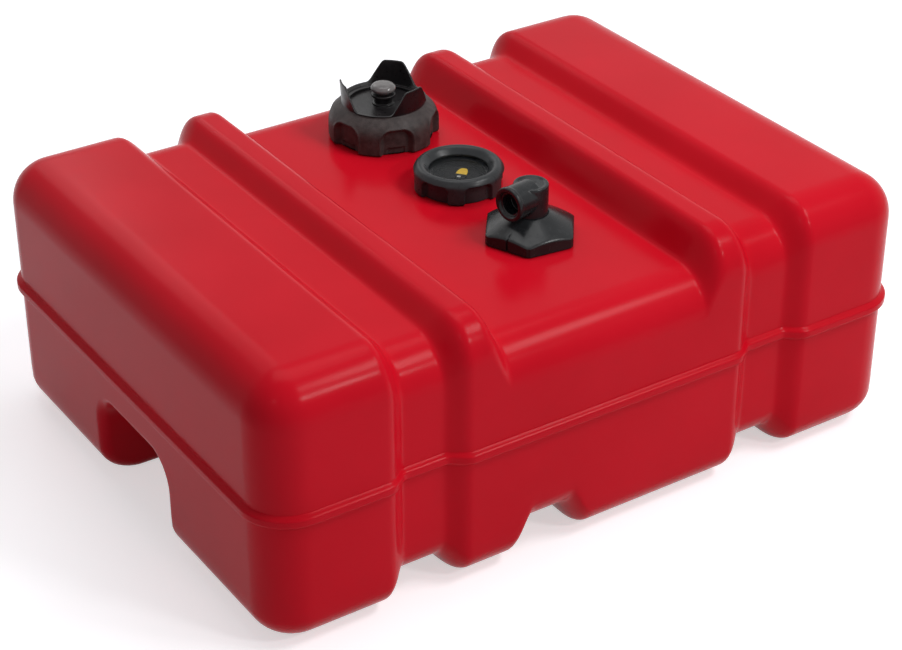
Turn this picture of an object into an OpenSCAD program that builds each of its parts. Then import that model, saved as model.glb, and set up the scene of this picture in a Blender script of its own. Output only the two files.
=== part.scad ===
// Portable outboard fuel tank: a low, wide moulded tank with a vented filler cap,
// a float gauge and a fuel pickup elbow standing in a row in its top trough.
// +Z is up, X runs along the tank, the origin is under its centre at the base.

/* [Tank] */
// Length over the end walls
tank_l = 600; // [480:1:720]
// Width over the front and rear walls
tank_w = 448; // [370:1:540]
// Height from the base to the top plateaus
tank_h = 229; // [190:1:275]
// Thickness of the moulded wall
wall = 4; // [3:0.1:5]
// Radius of the upright corners
corner_r = 36; // [28:1:50]
// Radius of the top edges
top_r = 37; // [28:1:50]
// Radius of the bottom edges
foot_r = 30; // [22:1:40]

/* [Top relief] */
// Half width of the central trough, to the middle of its flank
trough_half = 100; // [80:1:104]
// Depth of the central trough below the plateaus
trough_d = 29.5; // [20:0.5:36]
// Run of every flank, seen from above
flank_run = 22; // [14:1:24]
// Distance from the middle to the centre of a strap channel
strap_x = 162.7; // [158:0.1:195]
// Width of a strap channel, to the middle of its flanks
strap_w = 52; // [40:1:60]
// Depth of a strap channel in the top
strap_top_d = 16.5; // [8:0.5:22]
// Depth of a strap channel in the front and rear walls
strap_wall_d = 10.6; // [6:0.1:14]
// Depth of a strap channel in the sole
strap_sole_d = 16; // [8:0.5:20]

/* [Sole notch] */
// Centre of the notch that crosses the sole
notch_x = -49.8; // [-60:0.1:60]
// Width of the notch, to the middle of its flanks
notch_w = 53; // [40:1:70]
// Height of the notch
notch_h = 27; // [15:0.5:34]

/* [Hand holds] */
// Width of the hand hold in each end
hold_w = 113; // [90:1:130]
// Height of the hand hold
hold_h = 81; // [60:1:95]
// Radius of its top corners
hold_r = 24; // [10:1:30]
// How far it reaches in from the end wall
hold_d = 66; // [45:1:80]

/* [Parting bead] */
// Height of the middle of the parting bead
bead_z = 117.5; // [105:0.5:125]
// How far the bead stands out of the wall
bead_out = 4.3; // [2:0.1:6]
// Height of the bead's section
bead_t = 9; // [5:0.5:12]

/* [Fittings] */
// Distance of the fittings from the middle of the tank, along X
row_x = 19.5; // [-30:0.5:30]
// Flat floor of the trough that is left behind the cap
cap_margin = 8.1; // [4:0.1:20]
// Gap between the cap and the gauge's ring nut
cap_ring_gap = 31.4; // [20:0.1:36]
// Gap between the ring nut and the flats of the pickup's nut
ring_nut_gap = 29.5; // [15:0.1:40]
// Radial clearance of a screwed fitting on its neck
thread_gap = 0.3; // [0.2:0.05:0.5]
// Gap between pieces that turn or seat on each other
seat_gap = 0.3; // [0.2:0.05:0.4]
// Radial clearance of a running fit
run_gap = 0.05; // [0.02:0.01:0.1]
// Radial clearance of a neck's spigot in the tank wall
spigot_gap = 0.1; // [0.05:0.05:0.3]

/* [Necks] */
// Outer radius of the filler neck
filler_neck_r = 33; // [30:0.5:34]
// Bore radius of the filler neck
filler_bore_r = 28; // [24:0.5:29]
// Height of the filler neck above the trough
filler_neck_h = 24; // [20:0.5:27]
// Outer radius of the gauge neck
gauge_neck_r = 30; // [27:0.5:31]
// Bore radius of the gauge neck
gauge_bore_r = 26; // [23:0.5:26.5]
// Height of the gauge neck above the trough
gauge_neck_h = 10; // [8:0.5:14]
// Outer radius of the pickup neck
pickup_neck_r = 24; // [20:0.5:26]
// Bore radius of the pickup neck
pickup_bore_r = 20; // [16:0.5:21]
// Height of the pickup neck above the trough
pickup_neck_h = 7.5; // [6:0.5:9]
// Thickness of a neck's foot flange
neck_foot_t = 2.4; // [1.5:0.1:3]
// Width of a neck's foot flange
neck_foot_w = 2; // [1:0.1:2.4]

/* [Fuel cap] */
// Gap between the ratchet's teeth and the cap's skirt
ratchet_gap = 3; // [2:0.1:5]
// Wall of the skirt behind a finger recess
cap_wall = 2; // [1.5:0.1:4]
// Height of the cap's skirt below its shoulder
cap_skirt_h = 18; // [15:0.5:22]
// Height of the cap's rim, where the petals stand
cap_rim_h = 32; // [30:0.5:34]
// Width of the cap's shoulder, from its skirt to its rim
cap_shoulder_w = 11.2; // [9:0.1:14]
// Height of the petals' tips
petal_top = 53; // [44:0.5:58]
// Thickness of a petal
petal_t = 2.4; // [1.8:0.1:4]
// Width of a petal at its root, as an angle
petal_root = 72; // [40:1:80]
// Width of a petal at its tip, as an angle
petal_tip = 29; // [15:1:35]
// Number of finger recesses round the skirt
recess_n = 6; // [4:1:8]
// Width of a finger recess
recess_w = 26; // [18:0.5:28]
// Height of a finger recess
recess_h = 22; // [16:0.5:24]
// Depth of a finger recess
recess_d = 5; // [3:0.1:5.4]
// Thickness of the threaded inner cap
inner_cap_t = 2.8; // [2:0.1:3.2]
// Thickness of the cap's gasket
cap_gasket_t = 2; // [1:0.1:3]
// Number of ratchet teeth on the inner cap
ratchet_n = 24; // [12:1:36]

/* [Vent screw] */
// Radius of the vent screw's head
vent_head_r = 10.8; // [9:0.1:12]
// Height of the vent screw's head
vent_head_h = 6.5; // [5:0.1:8]
// Radius of the vent screw's threaded stem
vent_stem_r = 4; // [3.4:0.1:5]
// Radius of the vent's plunger
vent_pin_r = 1.8; // [1.4:0.1:2]
// Lift of the plunger when the screw is open
vent_lift = 2; // [1:0.1:2.4]

/* [Gauge] */
// Wall of the gauge's ring nut round the neck's foot
ring_wall = 5.9; // [5:0.1:9]
// Height of the ring nut
ring_h = 21.5; // [20:0.5:26]
// Radius of the ring nut's window
window_r = 25; // [21:0.1:26]
// Number of finger scallops round the ring nut
scallop_n = 6; // [4:1:8]
// Depth of a finger scallop
scallop_d = 4; // [2:0.1:5]
// Share of each pitch that a scallop takes
scallop_share = 0.63; // [0.5:0.01:0.75]
// Height of the shoulder above the scallops
scallop_rim = 5.5; // [5:0.5:9]
// Radius of the housing's cup
cup_r = 24.6; // [22:0.1:25.4]
// Thickness of the gauge's gasket
gauge_gasket_t = 1.5; // [1:0.1:2]
// Thickness of the gauge's lens
lens_t = 1.8; // [1.2:0.1:2.5]

/* [Float gear] */
// Gap that the float keeps from the tank's floor and roof
float_gap = 9; // [6:0.5:14]
// Angle of the arm below level when the tank is empty
arm_low = 50; // [40:1:55]
// Radius of the arm's wire
wire_r = 1.5; // [1:0.1:2]
// Radius of the float
float_r = 13; // [10:0.5:15]
// Length of the float
float_l = 36; // [25:1:40]
// Tooth size of the gear pair, as pitch diameter per tooth
tooth_m = 1; // [0.8:0.05:1.2]
// Teeth on the shaft's pinion
pinion_n = 12; // [10:1:16]
// Teeth on a whole turn of the arm's crown gear
crown_n = 24; // [20:1:32]
// Crown teeth that are moulded
crown_cut = 9; // [7:1:10]
// Radius of the pointer's shaft
shaft_r = 1.6; // [1.2:0.1:2]
// Radius of the arm's pivot pin
pin_r = 1.5; // [1.2:0.1:2]
// Direction of the pointer when the tank is empty
pointer_angle = 40; // [-180:1:180]

/* [Pickup] */
// Wall of the hexagon nut at its flats, round the neck's foot
nut_wall = 8.5; // [6:0.1:12]
// Height of the hexagon's corners
nut_corner_h = 8.3; // [7:0.1:10]
// Slope of the nut's conical top
nut_slope = 28; // [20:1:30]
// Outer radius of the elbow
elbow_r = 14.2; // [12:0.1:15]
// Height of the elbow's top above the trough, with the port at its own height
elbow_h = 47; // [45:0.5:52]
// Height of the hose port's axis above the trough, more over a taller nut
port_h = 36; // [35:0.5:37]
// Distance of the port's face from the elbow's axis
port_l = 25.5; // [22:0.5:30]
// Outer radius of the port
port_r = 14.4; // [12.5:0.1:14.5]
// Thread bore radius of the port
port_bore_r = 9.6; // [6:0.1:10]
// Depth of the port's thread
port_thread_l = 13; // [9:0.5:14]
// Turn of the port from the tank's length, towards the front
port_turn = 10; // [-90:1:90]
// Radius of the fuel passage
fuel_r = 4; // [3:0.1:5]
// Outer radius of the dip tube
dip_r = 5.5; // [4.8:0.1:7]
// Radius of the strainer
strainer_r = 8; // [7:0.1:11]
// Height of the strainer
strainer_h = 24; // [15:1:35]

/* [Hidden] */

$fn = 64;
tiny = 0.01;
floor_z = tank_h - trough_d;
roof_z = floor_z - wall;

// ---- radii of the fittings, and their places in the row ----
inner_r = filler_neck_r + thread_gap;            // thread bore of the inner cap
inner_out_r = inner_r + inner_cap_t;
tooth_out = 1.3;                                 // height of a ratchet tooth
cap_in_r = inner_out_r + tooth_out + ratchet_gap;    // inside of the skirt
cap_r = cap_in_r + cap_wall + recess_d;          // outside of the skirt
ring_r = gauge_neck_r + neck_foot_w + seat_gap + ring_wall;
nut_flat_r = pickup_neck_r + neck_foot_w + seat_gap + nut_wall;
filler_y = tank_w / 2 - top_r - cap_margin - cap_r;
gauge_y = filler_y - cap_r - cap_ring_gap - ring_r;
pickup_y = gauge_y - ring_r - ring_nut_gap - nut_flat_r;
nut_low = 0.8;                                   // lower edge of the cap and both nuts
nut_azimuth = 233;                               // a corner or crest that faces the front

// ---- the tank's skin, lofted through sections along X ----
arc_n = 5;           // segments in a quarter round
flank_n = 4;         // segments in a flank
last_q = 0.04;       // share of the edge radii left at the end section

function smooth(t) = let (c = min(1, max(0, t))) c * c * (3 - 2 * c);
// 1 inside a band of the given half width, 0 outside it, smooth over its flanks
function band(x, c, half) = smooth((half + flank_run / 2 - abs(x - c)) / flank_run);
// the three reliefs of the skin; t is how far inside the outer skin it lies
function trough_at(x, t) = band(x, 0, trough_half + t);
function strap_at(x, t) = band(abs(x), strap_x, strap_w / 2 + t);
function notch_at(x, t) = band(x, notch_x, notch_w / 2 + t);
function top_z(x, t) = tank_h - t - trough_d * trough_at(x, t) - strap_top_d * strap_at(x, t);
function sole_z(x, t) = t + strap_sole_d * strap_at(x, t) + notch_h * notch_at(x, t);
function half_w(x, t) = tank_w / 2 - t - strap_wall_d * strap_at(x, t);

end_half = tank_l / 2 - corner_r;                 // where the end corners start
function flank(c) = [for (i = [0:flank_n]) c + flank_run * (i / flank_n - 0.5)];
function mirrored(list) = [for (i = [len(list) - 1:-1:0]) -list[i]];
function stations(t) = let (
    side = concat(flank(trough_half + t),
        flank(strap_x - strap_w / 2 - t), flank(strap_x + strap_w / 2 + t)),
    ends = [for (i = [0:arc_n]) end_half + (corner_r - t) * sin(90 * i / arc_n)],
    notch = concat(flank(notch_x - notch_w / 2 - t), flank(notch_x + notch_w / 2 + t)))
    concat(mirrored(ends), mirrored(side), notch, side, ends);
// share of the edge radii that is left at a station
function share(x, t) = let (s = (abs(x) - end_half) / (corner_r - t))
    s <= 0 ? 1 : max(last_q, sqrt(max(0, 1 - s * s)));
function quarter(x, y, z, r, a) = [for (i = [0:arc_n])
    [x, y + r * cos(a + 90 * i / arc_n), z + r * sin(a + 90 * i / arc_n)]];
function section(x, t) = let (
    q = share(x, t),
    w = half_w(x, t) - (corner_r - t) * (1 - q),
    hi = top_z(x, t) - (top_r - t) * (1 - q),
    lo = sole_z(x, t) + (foot_r - t) * (1 - q),
    rt = (top_r - t) * q,
    rb = (foot_r - t) * q)
    concat(quarter(x, w - rt, hi - rt, rt, 0), quarter(x, -w + rt, hi - rt, rt, 90),
        quarter(x, -w + rb, lo + rb, rb, 180), quarter(x, w - rb, lo + rb, rb, 270));

module skin(t) {
    xs = stations(t);
    n = 4 * (arc_n + 1);
    last = len(xs) - 1;
    points = [for (x = xs) each section(x, t)];
    sides = [for (s = [0:last - 1], i = [0:n - 1]) each
        let (j = (i + 1) % n, a = s * n)
            [[a + n + j, a + j, a + i], [a + n + i, a + n + j, a + i]]];
    polyhedron(points, concat([[for (i = [0:n - 1]) i]], sides,
        [[for (i = [n - 1:-1:0]) last * n + i]]), convexity = 8);
}

module plan(t) {
    xs = stations(t);
    edge = [for (x = xs) [x, half_w(x, t) - (corner_r - t) * (1 - share(x, t))]];
    polygon(concat(edge, [for (i = [len(edge) - 1:-1:0]) [edge[i][0], -edge[i][1]]]));
}

module parting_bead() {
    steps = 2;
    for (k = [1:steps]) {
        a = 90 * (k - 0.5) / steps;
        translate([0, 0, bead_z - bead_t / 2 * sin(a)])
            linear_extrude(bead_t * sin(a))
                plan(-bead_out * cos(a) / cos(45 / steps));
    }
}

// an upright rectangle that stands on the X axis, with round top corners
module arch(w, h, r) {
    translate([-w / 2, 0])
        square([w, h - r]);
    translate([-w / 2 + r, 0])
        square([w - 2 * r, h]);
    for (s = [-1, 1])
        translate([s * (w / 2 - r), h - r])
            circle(r);
}

// the space of a hand hold, grown by g on its walls
module hand_hold(side, g) {
    rotate([0, 0, side > 0 ? 0 : 180])
        translate([tank_l / 2 - hold_d - g, 0, 0])
            rotate([90, 0, 90])
                translate([0, -tiny])
                    linear_extrude(hold_d + g + bead_out + tiny)
                        arch(hold_w + 2 * g, hold_h + g, hold_r + g);
}

// the outside of the tank from one height up to another, with its bead
module moulding(low, high) {
    intersection() {
        union() {
            skin(0);
            parting_bead();
        }
        translate([-tank_l, -tank_w, low])
            cube([2 * tank_l, 2 * tank_w, high - low]);
    }
}

module tank_top() {
    color([0.78, 0.13, 0.17])
        difference() {
            moulding(bead_z, tank_h + 1);
            skin(wall);
            for (p = [[filler_y, filler_neck_r], [gauge_y, gauge_neck_r], [pickup_y, pickup_neck_r]])
                translate([row_x, p[0], roof_z - foot_r])
                    cylinder(r = p[1] + spigot_gap, h = foot_r + wall + trough_d);
        }
}

module tank_base() {
    color([0.78, 0.13, 0.17])
        difference() {
            moulding(-1, bead_z);
            difference() {
                skin(wall);
                for (side = [-1, 1])
                    hand_hold(side, wall);
            }
            for (side = [-1, 1])
                translate([0, 0, -tiny])
                    hand_hold(side, 0);
        }
}

// ---- small shapes that repeat ----
module tube(r_out, r_in, h) {
    difference() {
        cylinder(r = r_out, h = h);
        translate([0, 0, -1])
            cylinder(r = r_in, h = h + 2);
    }
}

// a threaded neck: spigot through the wall, foot flange and upright barrel
module neck(y, r, bore, h) {
    translate([row_x, y, floor_z])
        difference() {
            union() {
                translate([0, 0, -wall - neck_foot_t])
                    cylinder(r = r, h = h + wall + neck_foot_t);
                cylinder(r = r + neck_foot_w, h = neck_foot_t);
            }
            translate([0, 0, -wall - neck_foot_t - 1])
                cylinder(r = bore, h = h + wall + neck_foot_t + 2);
        }
}

module filler_neck() {
    color([0.78, 0.13, 0.17])
        neck(filler_y, filler_neck_r, filler_bore_r, filler_neck_h);
}

module gauge_neck() {
    color([0.78, 0.13, 0.17])
        neck(gauge_y, gauge_neck_r, gauge_bore_r, gauge_neck_h);
}

module pickup_neck() {
    color([0.78, 0.13, 0.17])
        neck(pickup_y, pickup_neck_r, pickup_bore_r, pickup_neck_h);
}

// ---- fuel cap ----
cap_rim_r = cap_r - cap_shoulder_w;              // outside of the rim and petals
inner_low = 6.6;                                 // lower edge of the inner cap
deck_low = filler_neck_h + cap_gasket_t;         // underside of the inner cap's deck
deck_top = deck_low + inner_cap_t;
snap_t = 1.4;                                    // thickness of the snap ring
snap_in_r = inner_out_r - 1.2;
well_r = cap_rim_r - petal_t - 3.4;              // hole in the shell's deck
petal_azimuth = 44;
recess_azimuth = 12.5;

// vent: tower on the inner cap, screw in the tower, plunger in the screw
tower_r = vent_stem_r + seat_gap + 3.7;
tower_h = 7.4;
collar_r = tower_r + 2.4;
collar_h = 2.4;
seat_z = deck_top + 1;                           // seat of the vent's seal
tower_top = deck_top + tower_h + collar_h;
air_r = 1.5;                                     // air hole through the seat
vent_seal_t = 1.2;
vent_neck_h = 2.2;
stem_low = seat_z + seat_gap + vent_seal_t + vent_lift + seat_gap;
head_low = tower_top + seat_gap + vent_neck_h;
pin_top = head_low + 0.6;

module at_filler() {
    translate([row_x, filler_y, floor_z])
        children();
}

module fuel_cap_gasket() {
    color([0.15, 0.15, 0.15])
        at_filler()
            translate([0, 0, filler_neck_h])
                tube(filler_neck_r - seat_gap, filler_bore_r + 0.6, cap_gasket_t);
}

module ratchet_ring() {
    difference() {
        for (i = [0:ratchet_n - 1])
            rotate([0, 0, 360 / ratchet_n * i])
                translate([inner_out_r - 1, 0, inner_low + 3])
                    linear_extrude(5)
                        polygon([[0, -2.4], [1.2, -2.4], [1 + tooth_out, 0.8], [0, 1.4]]);
        translate([0, 0, -1])
            cylinder(r = inner_r + 0.8, h = filler_neck_h);
    }
}

module fuel_cap_inner() {
    color([0.1, 0.1, 0.11])
        at_filler()
            difference() {
                union() {
                    translate([0, 0, inner_low])
                        cylinder(r = inner_out_r, h = deck_top - inner_low);
                    ratchet_ring();
                    translate([0, 0, deck_top - tiny])
                        cylinder(r = tower_r, h = tower_h + tiny);
                    translate([0, 0, deck_top + tower_h])
                        cylinder(r = collar_r, h = collar_h);
                    translate([0, 0, deck_top - tiny])
                        cylinder(r = collar_r - 0.8, h = 1.8);
                }
                translate([0, 0, inner_low - 1])
                    cylinder(r = inner_r, h = deck_low - inner_low + 1);
                translate([0, 0, seat_z])
                    cylinder(r = vent_stem_r + seat_gap, h = tower_top);
                translate([0, 0, deck_low - 1])
                    cylinder(r = air_r, h = seat_z);
            }
}

module cap_profile() {
    slope_r = cap_rim_r + 3.2;
    deck_in = deck_top + seat_gap;
    polygon([[cap_in_r, nut_low], [cap_r - 1, nut_low], [cap_r, nut_low + 1.2], [cap_r, cap_skirt_h],
        [cap_r - 0.6, cap_skirt_h + 3.2], [cap_r - 2.2, cap_skirt_h + 6],
        [slope_r, cap_rim_h - 2], [cap_rim_r, cap_rim_h],
        [cap_rim_r - petal_t, cap_rim_h], [cap_rim_r - petal_t, deck_in + 2.2],
        [well_r, deck_in + 2.2], [well_r, deck_in], [inner_out_r + 1.6, deck_in],
        [inner_out_r + 2.4, deck_in - 3], [cap_in_r, cap_skirt_h - 2]]);
}

module petal() {
    mid_r = cap_rim_r - petal_t / 2;
    root_w = mid_r * sin(petal_root / 2);
    tip_w = mid_r * sin(petal_tip / 2);
    lean = 1.2;
    intersection() {
        rotate_extrude()
            polygon([[cap_rim_r - petal_t, cap_rim_h - 2], [cap_rim_r, cap_rim_h - 2],
                [cap_rim_r + lean, petal_top], [cap_rim_r + lean - petal_t * 0.7, petal_top]]);
        rotate([90, 0, 90])
            linear_extrude(cap_r)
                polygon([[-root_w, cap_rim_h - 3], [root_w, cap_rim_h - 3], [root_w, cap_rim_h + 1.5],
                    [tip_w + 1.2, petal_top - 2.4], [tip_w - 1.5, petal_top],
                    [-tip_w + 1.5, petal_top], [-tip_w - 1.2, petal_top - 2.4],
                    [-root_w, cap_rim_h + 1.5]]);
    }
}

module fuel_cap_shell() {
    color([0.13, 0.115, 0.115])
        at_filler() {
            difference() {
                union() {
                    rotate_extrude()
                        cap_profile();
                    translate([0, 0, inner_low - seat_gap - snap_t])
                        tube(cap_in_r + 0.6, snap_in_r, snap_t);
                }
                for (i = [0:recess_n - 1])
                    rotate([0, 0, recess_azimuth + 360 / recess_n * i])
                        difference() {
                            translate([0, 0, -1])
                                rotate([90, 0, 90])
                                    linear_extrude(cap_r + 5)
                                        arch(recess_w, recess_h + 1, 8);
                            translate([0, 0, -2])
                                cylinder(r = cap_r - recess_d, h = recess_h + 4);
                        }
            }
            for (i = [0:2])
                rotate([0, 0, petal_azimuth + 120 * i])
                    petal();
        }
}

module vent_screw() {
    edge = 2;
    color([0.5, 0.49, 0.49])
        at_filler()
            difference() {
                union() {
                    translate([0, 0, stem_low])
                        cylinder(r = vent_stem_r, h = head_low - stem_low + 1);
                    translate([0, 0, tower_top + seat_gap])
                        cylinder(r = vent_stem_r + 2.6, h = vent_neck_h + 1);
                    translate([0, 0, head_low])
                        rotate_extrude()
                            polygon([[0, 0], [vent_head_r - 1.4, 0], [vent_head_r, 1.4],
                                [vent_head_r, vent_head_h - edge - 1.2],
                                [vent_head_r - edge * 0.4, vent_head_h - edge * 0.8],
                                [vent_head_r - edge * 1.6, vent_head_h - 0.5],
                                [vent_head_r - edge * 3, vent_head_h], [0, vent_head_h]]);
                }
                translate([0, 0, stem_low - 1])
                    cylinder(r = vent_pin_r + run_gap, h = pin_top + vent_lift + 1 - stem_low + 1);
            }
}

module vent_plunger() {
    color([0.75, 0.75, 0.76])
        at_filler()
            translate([0, 0, seat_z + seat_gap + vent_seal_t])
                cylinder(r = vent_pin_r, h = pin_top - seat_z - seat_gap - vent_seal_t);
}

module vent_seal() {
    color([0.12, 0.12, 0.12])
        at_filler()
            translate([0, 0, seat_z + seat_gap])
                cylinder(r = vent_stem_r - 0.4, h = vent_seal_t);
}

// ---- gauge ----
flange_t = 2;
flange_low = gauge_neck_h + gauge_gasket_t;      // underside of the housing's flange
lens_low = flange_low + flange_t - 1;            // the lens sits in a rebate of the flange
lens_top = lens_low + lens_t;
lip_low = lens_top + seat_gap;                   // underside of the ring nut's lip
cup_in_r = cup_r - 1.8;
cup_low = -2;                                    // underside of the cup, from the trough
cup_floor_t = 1.8;
dial_low = cup_low + cup_floor_t + 5;
dial_t = 1;
pointer_low = dial_low + dial_t + 0.6;
pointer_t = 1.2;
stem_r = 6;
lens_r = window_r + 2.2;
lens_gap = 0.2;                                  // round the lens in its rebate
scallop_h = ring_h - scallop_rim;

module at_gauge() {
    translate([row_x, gauge_y, floor_z])
        children();
}

module gauge_gasket() {
    color([0.12, 0.12, 0.12])
        at_gauge()
            translate([0, 0, gauge_neck_h])
                tube(gauge_neck_r - seat_gap, cup_r + 0.5, gauge_gasket_t);
}

module gauge_housing() {
    color([0.13, 0.13, 0.14])
        at_gauge()
            difference() {
                union() {
                    translate([0, 0, flange_low])
                        cylinder(r = gauge_neck_r - seat_gap, h = flange_t);
                    translate([0, 0, cup_low])
                        cylinder(r = cup_r, h = flange_low - cup_low + tiny);
                }
                translate([0, 0, cup_low + cup_floor_t])
                    cylinder(r = cup_in_r, h = lens_top);
                translate([0, 0, lens_low])
                    cylinder(r = lens_r + lens_gap, h = lens_top);
                translate([0, 0, cup_low - 1])
                    cylinder(r = shaft_r + run_gap, h = cup_floor_t + 2);
            }
}

module gauge_dial() {
    color([0.07, 0.07, 0.08])
        at_gauge() {
            translate([0, 0, dial_low])
                tube(cup_in_r - 0.1, shaft_r + 1, dial_t);
            translate([0, 0, cup_low + cup_floor_t])
                tube(cup_in_r - 0.1, cup_in_r - 1.6, dial_low - cup_low - cup_floor_t);
        }
}

module gauge_lens() {
    color([0.55, 0.55, 0.58, 0.4])
        at_gauge()
            translate([0, 0, lens_low])
                cylinder(r = lens_r, h = lens_t);
}

module scallop_cutter() {
    half = 180 / scallop_n * scallop_share;
    far = ring_r * 1.4;
    difference() {
        translate([0, 0, -1])
            linear_extrude(scallop_h + 1)
                polygon([[0, 0], [far * cos(half), -far * sin(half)], [far, 0],
                    [far * cos(half), far * sin(half)]]);
        translate([0, 0, -2])
            cylinder(r = ring_r - scallop_d, h = scallop_h + 4);
    }
}

module gauge_ring() {
    crest_r = ring_r - 6;
    first = nut_azimuth + 180 / scallop_n;
    foot_r_in = gauge_neck_r + neck_foot_w + seat_gap;
    foot_top = neck_foot_t + seat_gap;
    color([0.11, 0.13, 0.14])
        at_gauge()
            difference() {
                rotate_extrude()
                    polygon([[foot_r_in, nut_low], [ring_r - 1.2, nut_low],
                        [ring_r, nut_low + 1.2], [ring_r, ring_h - 4.5],
                        [ring_r - 0.8, ring_h - 3], [ring_r - 2.6, ring_h - 1.2],
                        [crest_r + 1, ring_h], [crest_r - 1.6, ring_h - 0.3],
                        [window_r + 2.4, ring_h - 2.4], [window_r, lip_low + 1.8],
                        [window_r, lip_low], [gauge_neck_r + thread_gap, lip_low],
                        [gauge_neck_r + thread_gap, foot_top], [foot_r_in, foot_top]]);
                for (i = [0:scallop_n - 1])
                    rotate([0, 0, first + 360 / scallop_n * i])
                        scallop_cutter();
            }
}

// ---- float gear ----
arm_swing = 90;                                  // from empty to full
// half the float's height when its arm is tilted by a
function float_half(a) = float_l / 2 * sin(a) + float_r * cos(a);
arm_high = arm_swing - arm_low;                  // angle of the arm above level when full
arm_l = (roof_z - wall - 2 * float_gap - float_half(arm_low) - float_half(arm_high))
    / (sin(arm_low) + sin(arm_high));            // from the pivot to the float's centre
pivot_z = wall + float_gap + float_half(arm_low) + arm_l * sin(arm_low);
pinion_r = tooth_m * pinion_n / 2;
crown_r = tooth_m * crown_n / 2;
pitch_angle = 360 / crown_n;
mesh_shift = arm_swing / 2 - pitch_angle * round(arm_swing / 2 / pitch_angle);
tooth_add = tooth_m * 0.9;                       // tooth height above the pitch line
tooth_ded = tooth_m * 1.25;                      // and below it
tooth_half = tooth_m * 0.58;                     // half thickness on the pitch line
tooth_face = 4;                                  // width of the teeth
pinion_mid_z = pivot_z + crown_r;                // the pinion stands over the arm's pivot
crown_y = gauge_y - pinion_r;                    // pitch plane of the crown gear
crown_back = crown_y - tooth_ded;                // face that carries the crown's teeth
crown_t = 2.4;
leg_t = 2.4;                                     // thickness of the stem's fork legs
leg_w = 9;
hub_r = 4;
front_leg_y = crown_back - crown_t - seat_gap - leg_t;
rear_leg_y = gauge_y + pinion_r + tooth_add + 0.6;
web_t = 3;
tip_r = 0.9;                                     // thin end of the wire in the gear's socket
tip_l = 4;                                       // and its length
tip_start = hub_r + 0.6;
socket_l = 6;                                    // boss that holds the wire's thin end
float_bore_l = 12;                               // how far the wire reaches into the float
web_z = pinion_mid_z + tooth_face / 2 + 1.2;     // underside of the fork's web

module at_pivot() {
    translate([row_x, 0, pivot_z])
        children();
}

// a cylinder along +Y from y, on the pivot's axis
module cross_bar(r, y, l) {
    translate([0, y, 0])
        rotate([-90, 0, 0])
            cylinder(r = r, h = l);
}

module gauge_stem() {
    top = floor_z + cup_low;
    color([0.85, 0.84, 0.8])
        difference() {
            union() {
                translate([row_x, gauge_y, web_z])
                    cylinder(r = stem_r, h = top - web_z);
                translate([row_x - leg_w / 2, front_leg_y, web_z])
                    cube([leg_w, rear_leg_y + leg_t - front_leg_y, web_t]);
                for (y = [front_leg_y, rear_leg_y]) {
                    translate([row_x - leg_w / 2, y, pivot_z])
                        cube([leg_w, leg_t, web_z + 1 - pivot_z]);
                    at_pivot()
                        cross_bar(leg_w / 2, y, leg_t);
                }
            }
            translate([row_x, gauge_y, web_z - 1])
                cylinder(r = shaft_r + run_gap, h = top);
            at_pivot()
                cross_bar(pin_r + run_gap, front_leg_y - 1, rear_leg_y + leg_t - front_leg_y + 2);
        }
}

module arm_pin() {
    head_t = 0.8;
    color([0.8, 0.8, 0.78])
        at_pivot() {
            cross_bar(pin_r, front_leg_y - seat_gap, rear_leg_y + leg_t + 1 - front_leg_y);
            cross_bar(pin_r + 1, front_leg_y - seat_gap - head_t, head_t);
        }
}

module pointer_shaft() {
    low = pinion_mid_z - tooth_face / 2;
    color([0.75, 0.72, 0.6])
        translate([row_x, gauge_y, low])
            cylinder(r = shaft_r, h = floor_z + pointer_low + pointer_t + 0.8 - low);
}

// one tooth of a given half width, pointing along +X from its pitch line
module tooth() {
    root = tooth_ded + 0.4;
    polygon([[-root, -tooth_half * 1.3], [0, -tooth_half], [tooth_add, -tooth_half * 0.4],
        [tooth_add, tooth_half * 0.4], [0, tooth_half], [-root, tooth_half * 1.3]]);
}

// the pinion's outline: root, flank, tip, tip, flank and root of each tooth in turn
function pinion_outline() = [for (i = [0:pinion_n - 1]) each
    let (a = 360 / pinion_n * (i + 0.5) - 90)
        [for (p = [[-tooth_ded, -1.25], [0, -1], [tooth_add, -0.4],
            [tooth_add, 0.4], [0, 1], [-tooth_ded, 1.25]])
            let (r = pinion_r + p[0], w = tooth_half * p[1])
                [r * cos(a) - w * sin(a), r * sin(a) + w * cos(a)]]];

module shaft_pinion() {
    color([0.9, 0.88, 0.82])
        translate([row_x, gauge_y, pinion_mid_z - tooth_face / 2])
            linear_extrude(tooth_face)
                difference() {
                    polygon(pinion_outline());
                    circle(shaft_r);
                }
}

module gauge_pointer() {
    color([0.92, 0.74, 0.24])
        at_gauge()
            rotate([0, 0, pointer_angle])
                translate([0, 0, pointer_low])
                    linear_extrude(pointer_t)
                        difference() {
                            union() {
                                circle(shaft_r + 2);
                                polygon([[0, -5], [9, -4.6], [14.5, -2.6], [17, 0],
                                    [14.5, 2.6], [9, 4.6], [0, 5]]);
                            }
                            circle(shaft_r);
                        }
}

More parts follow.
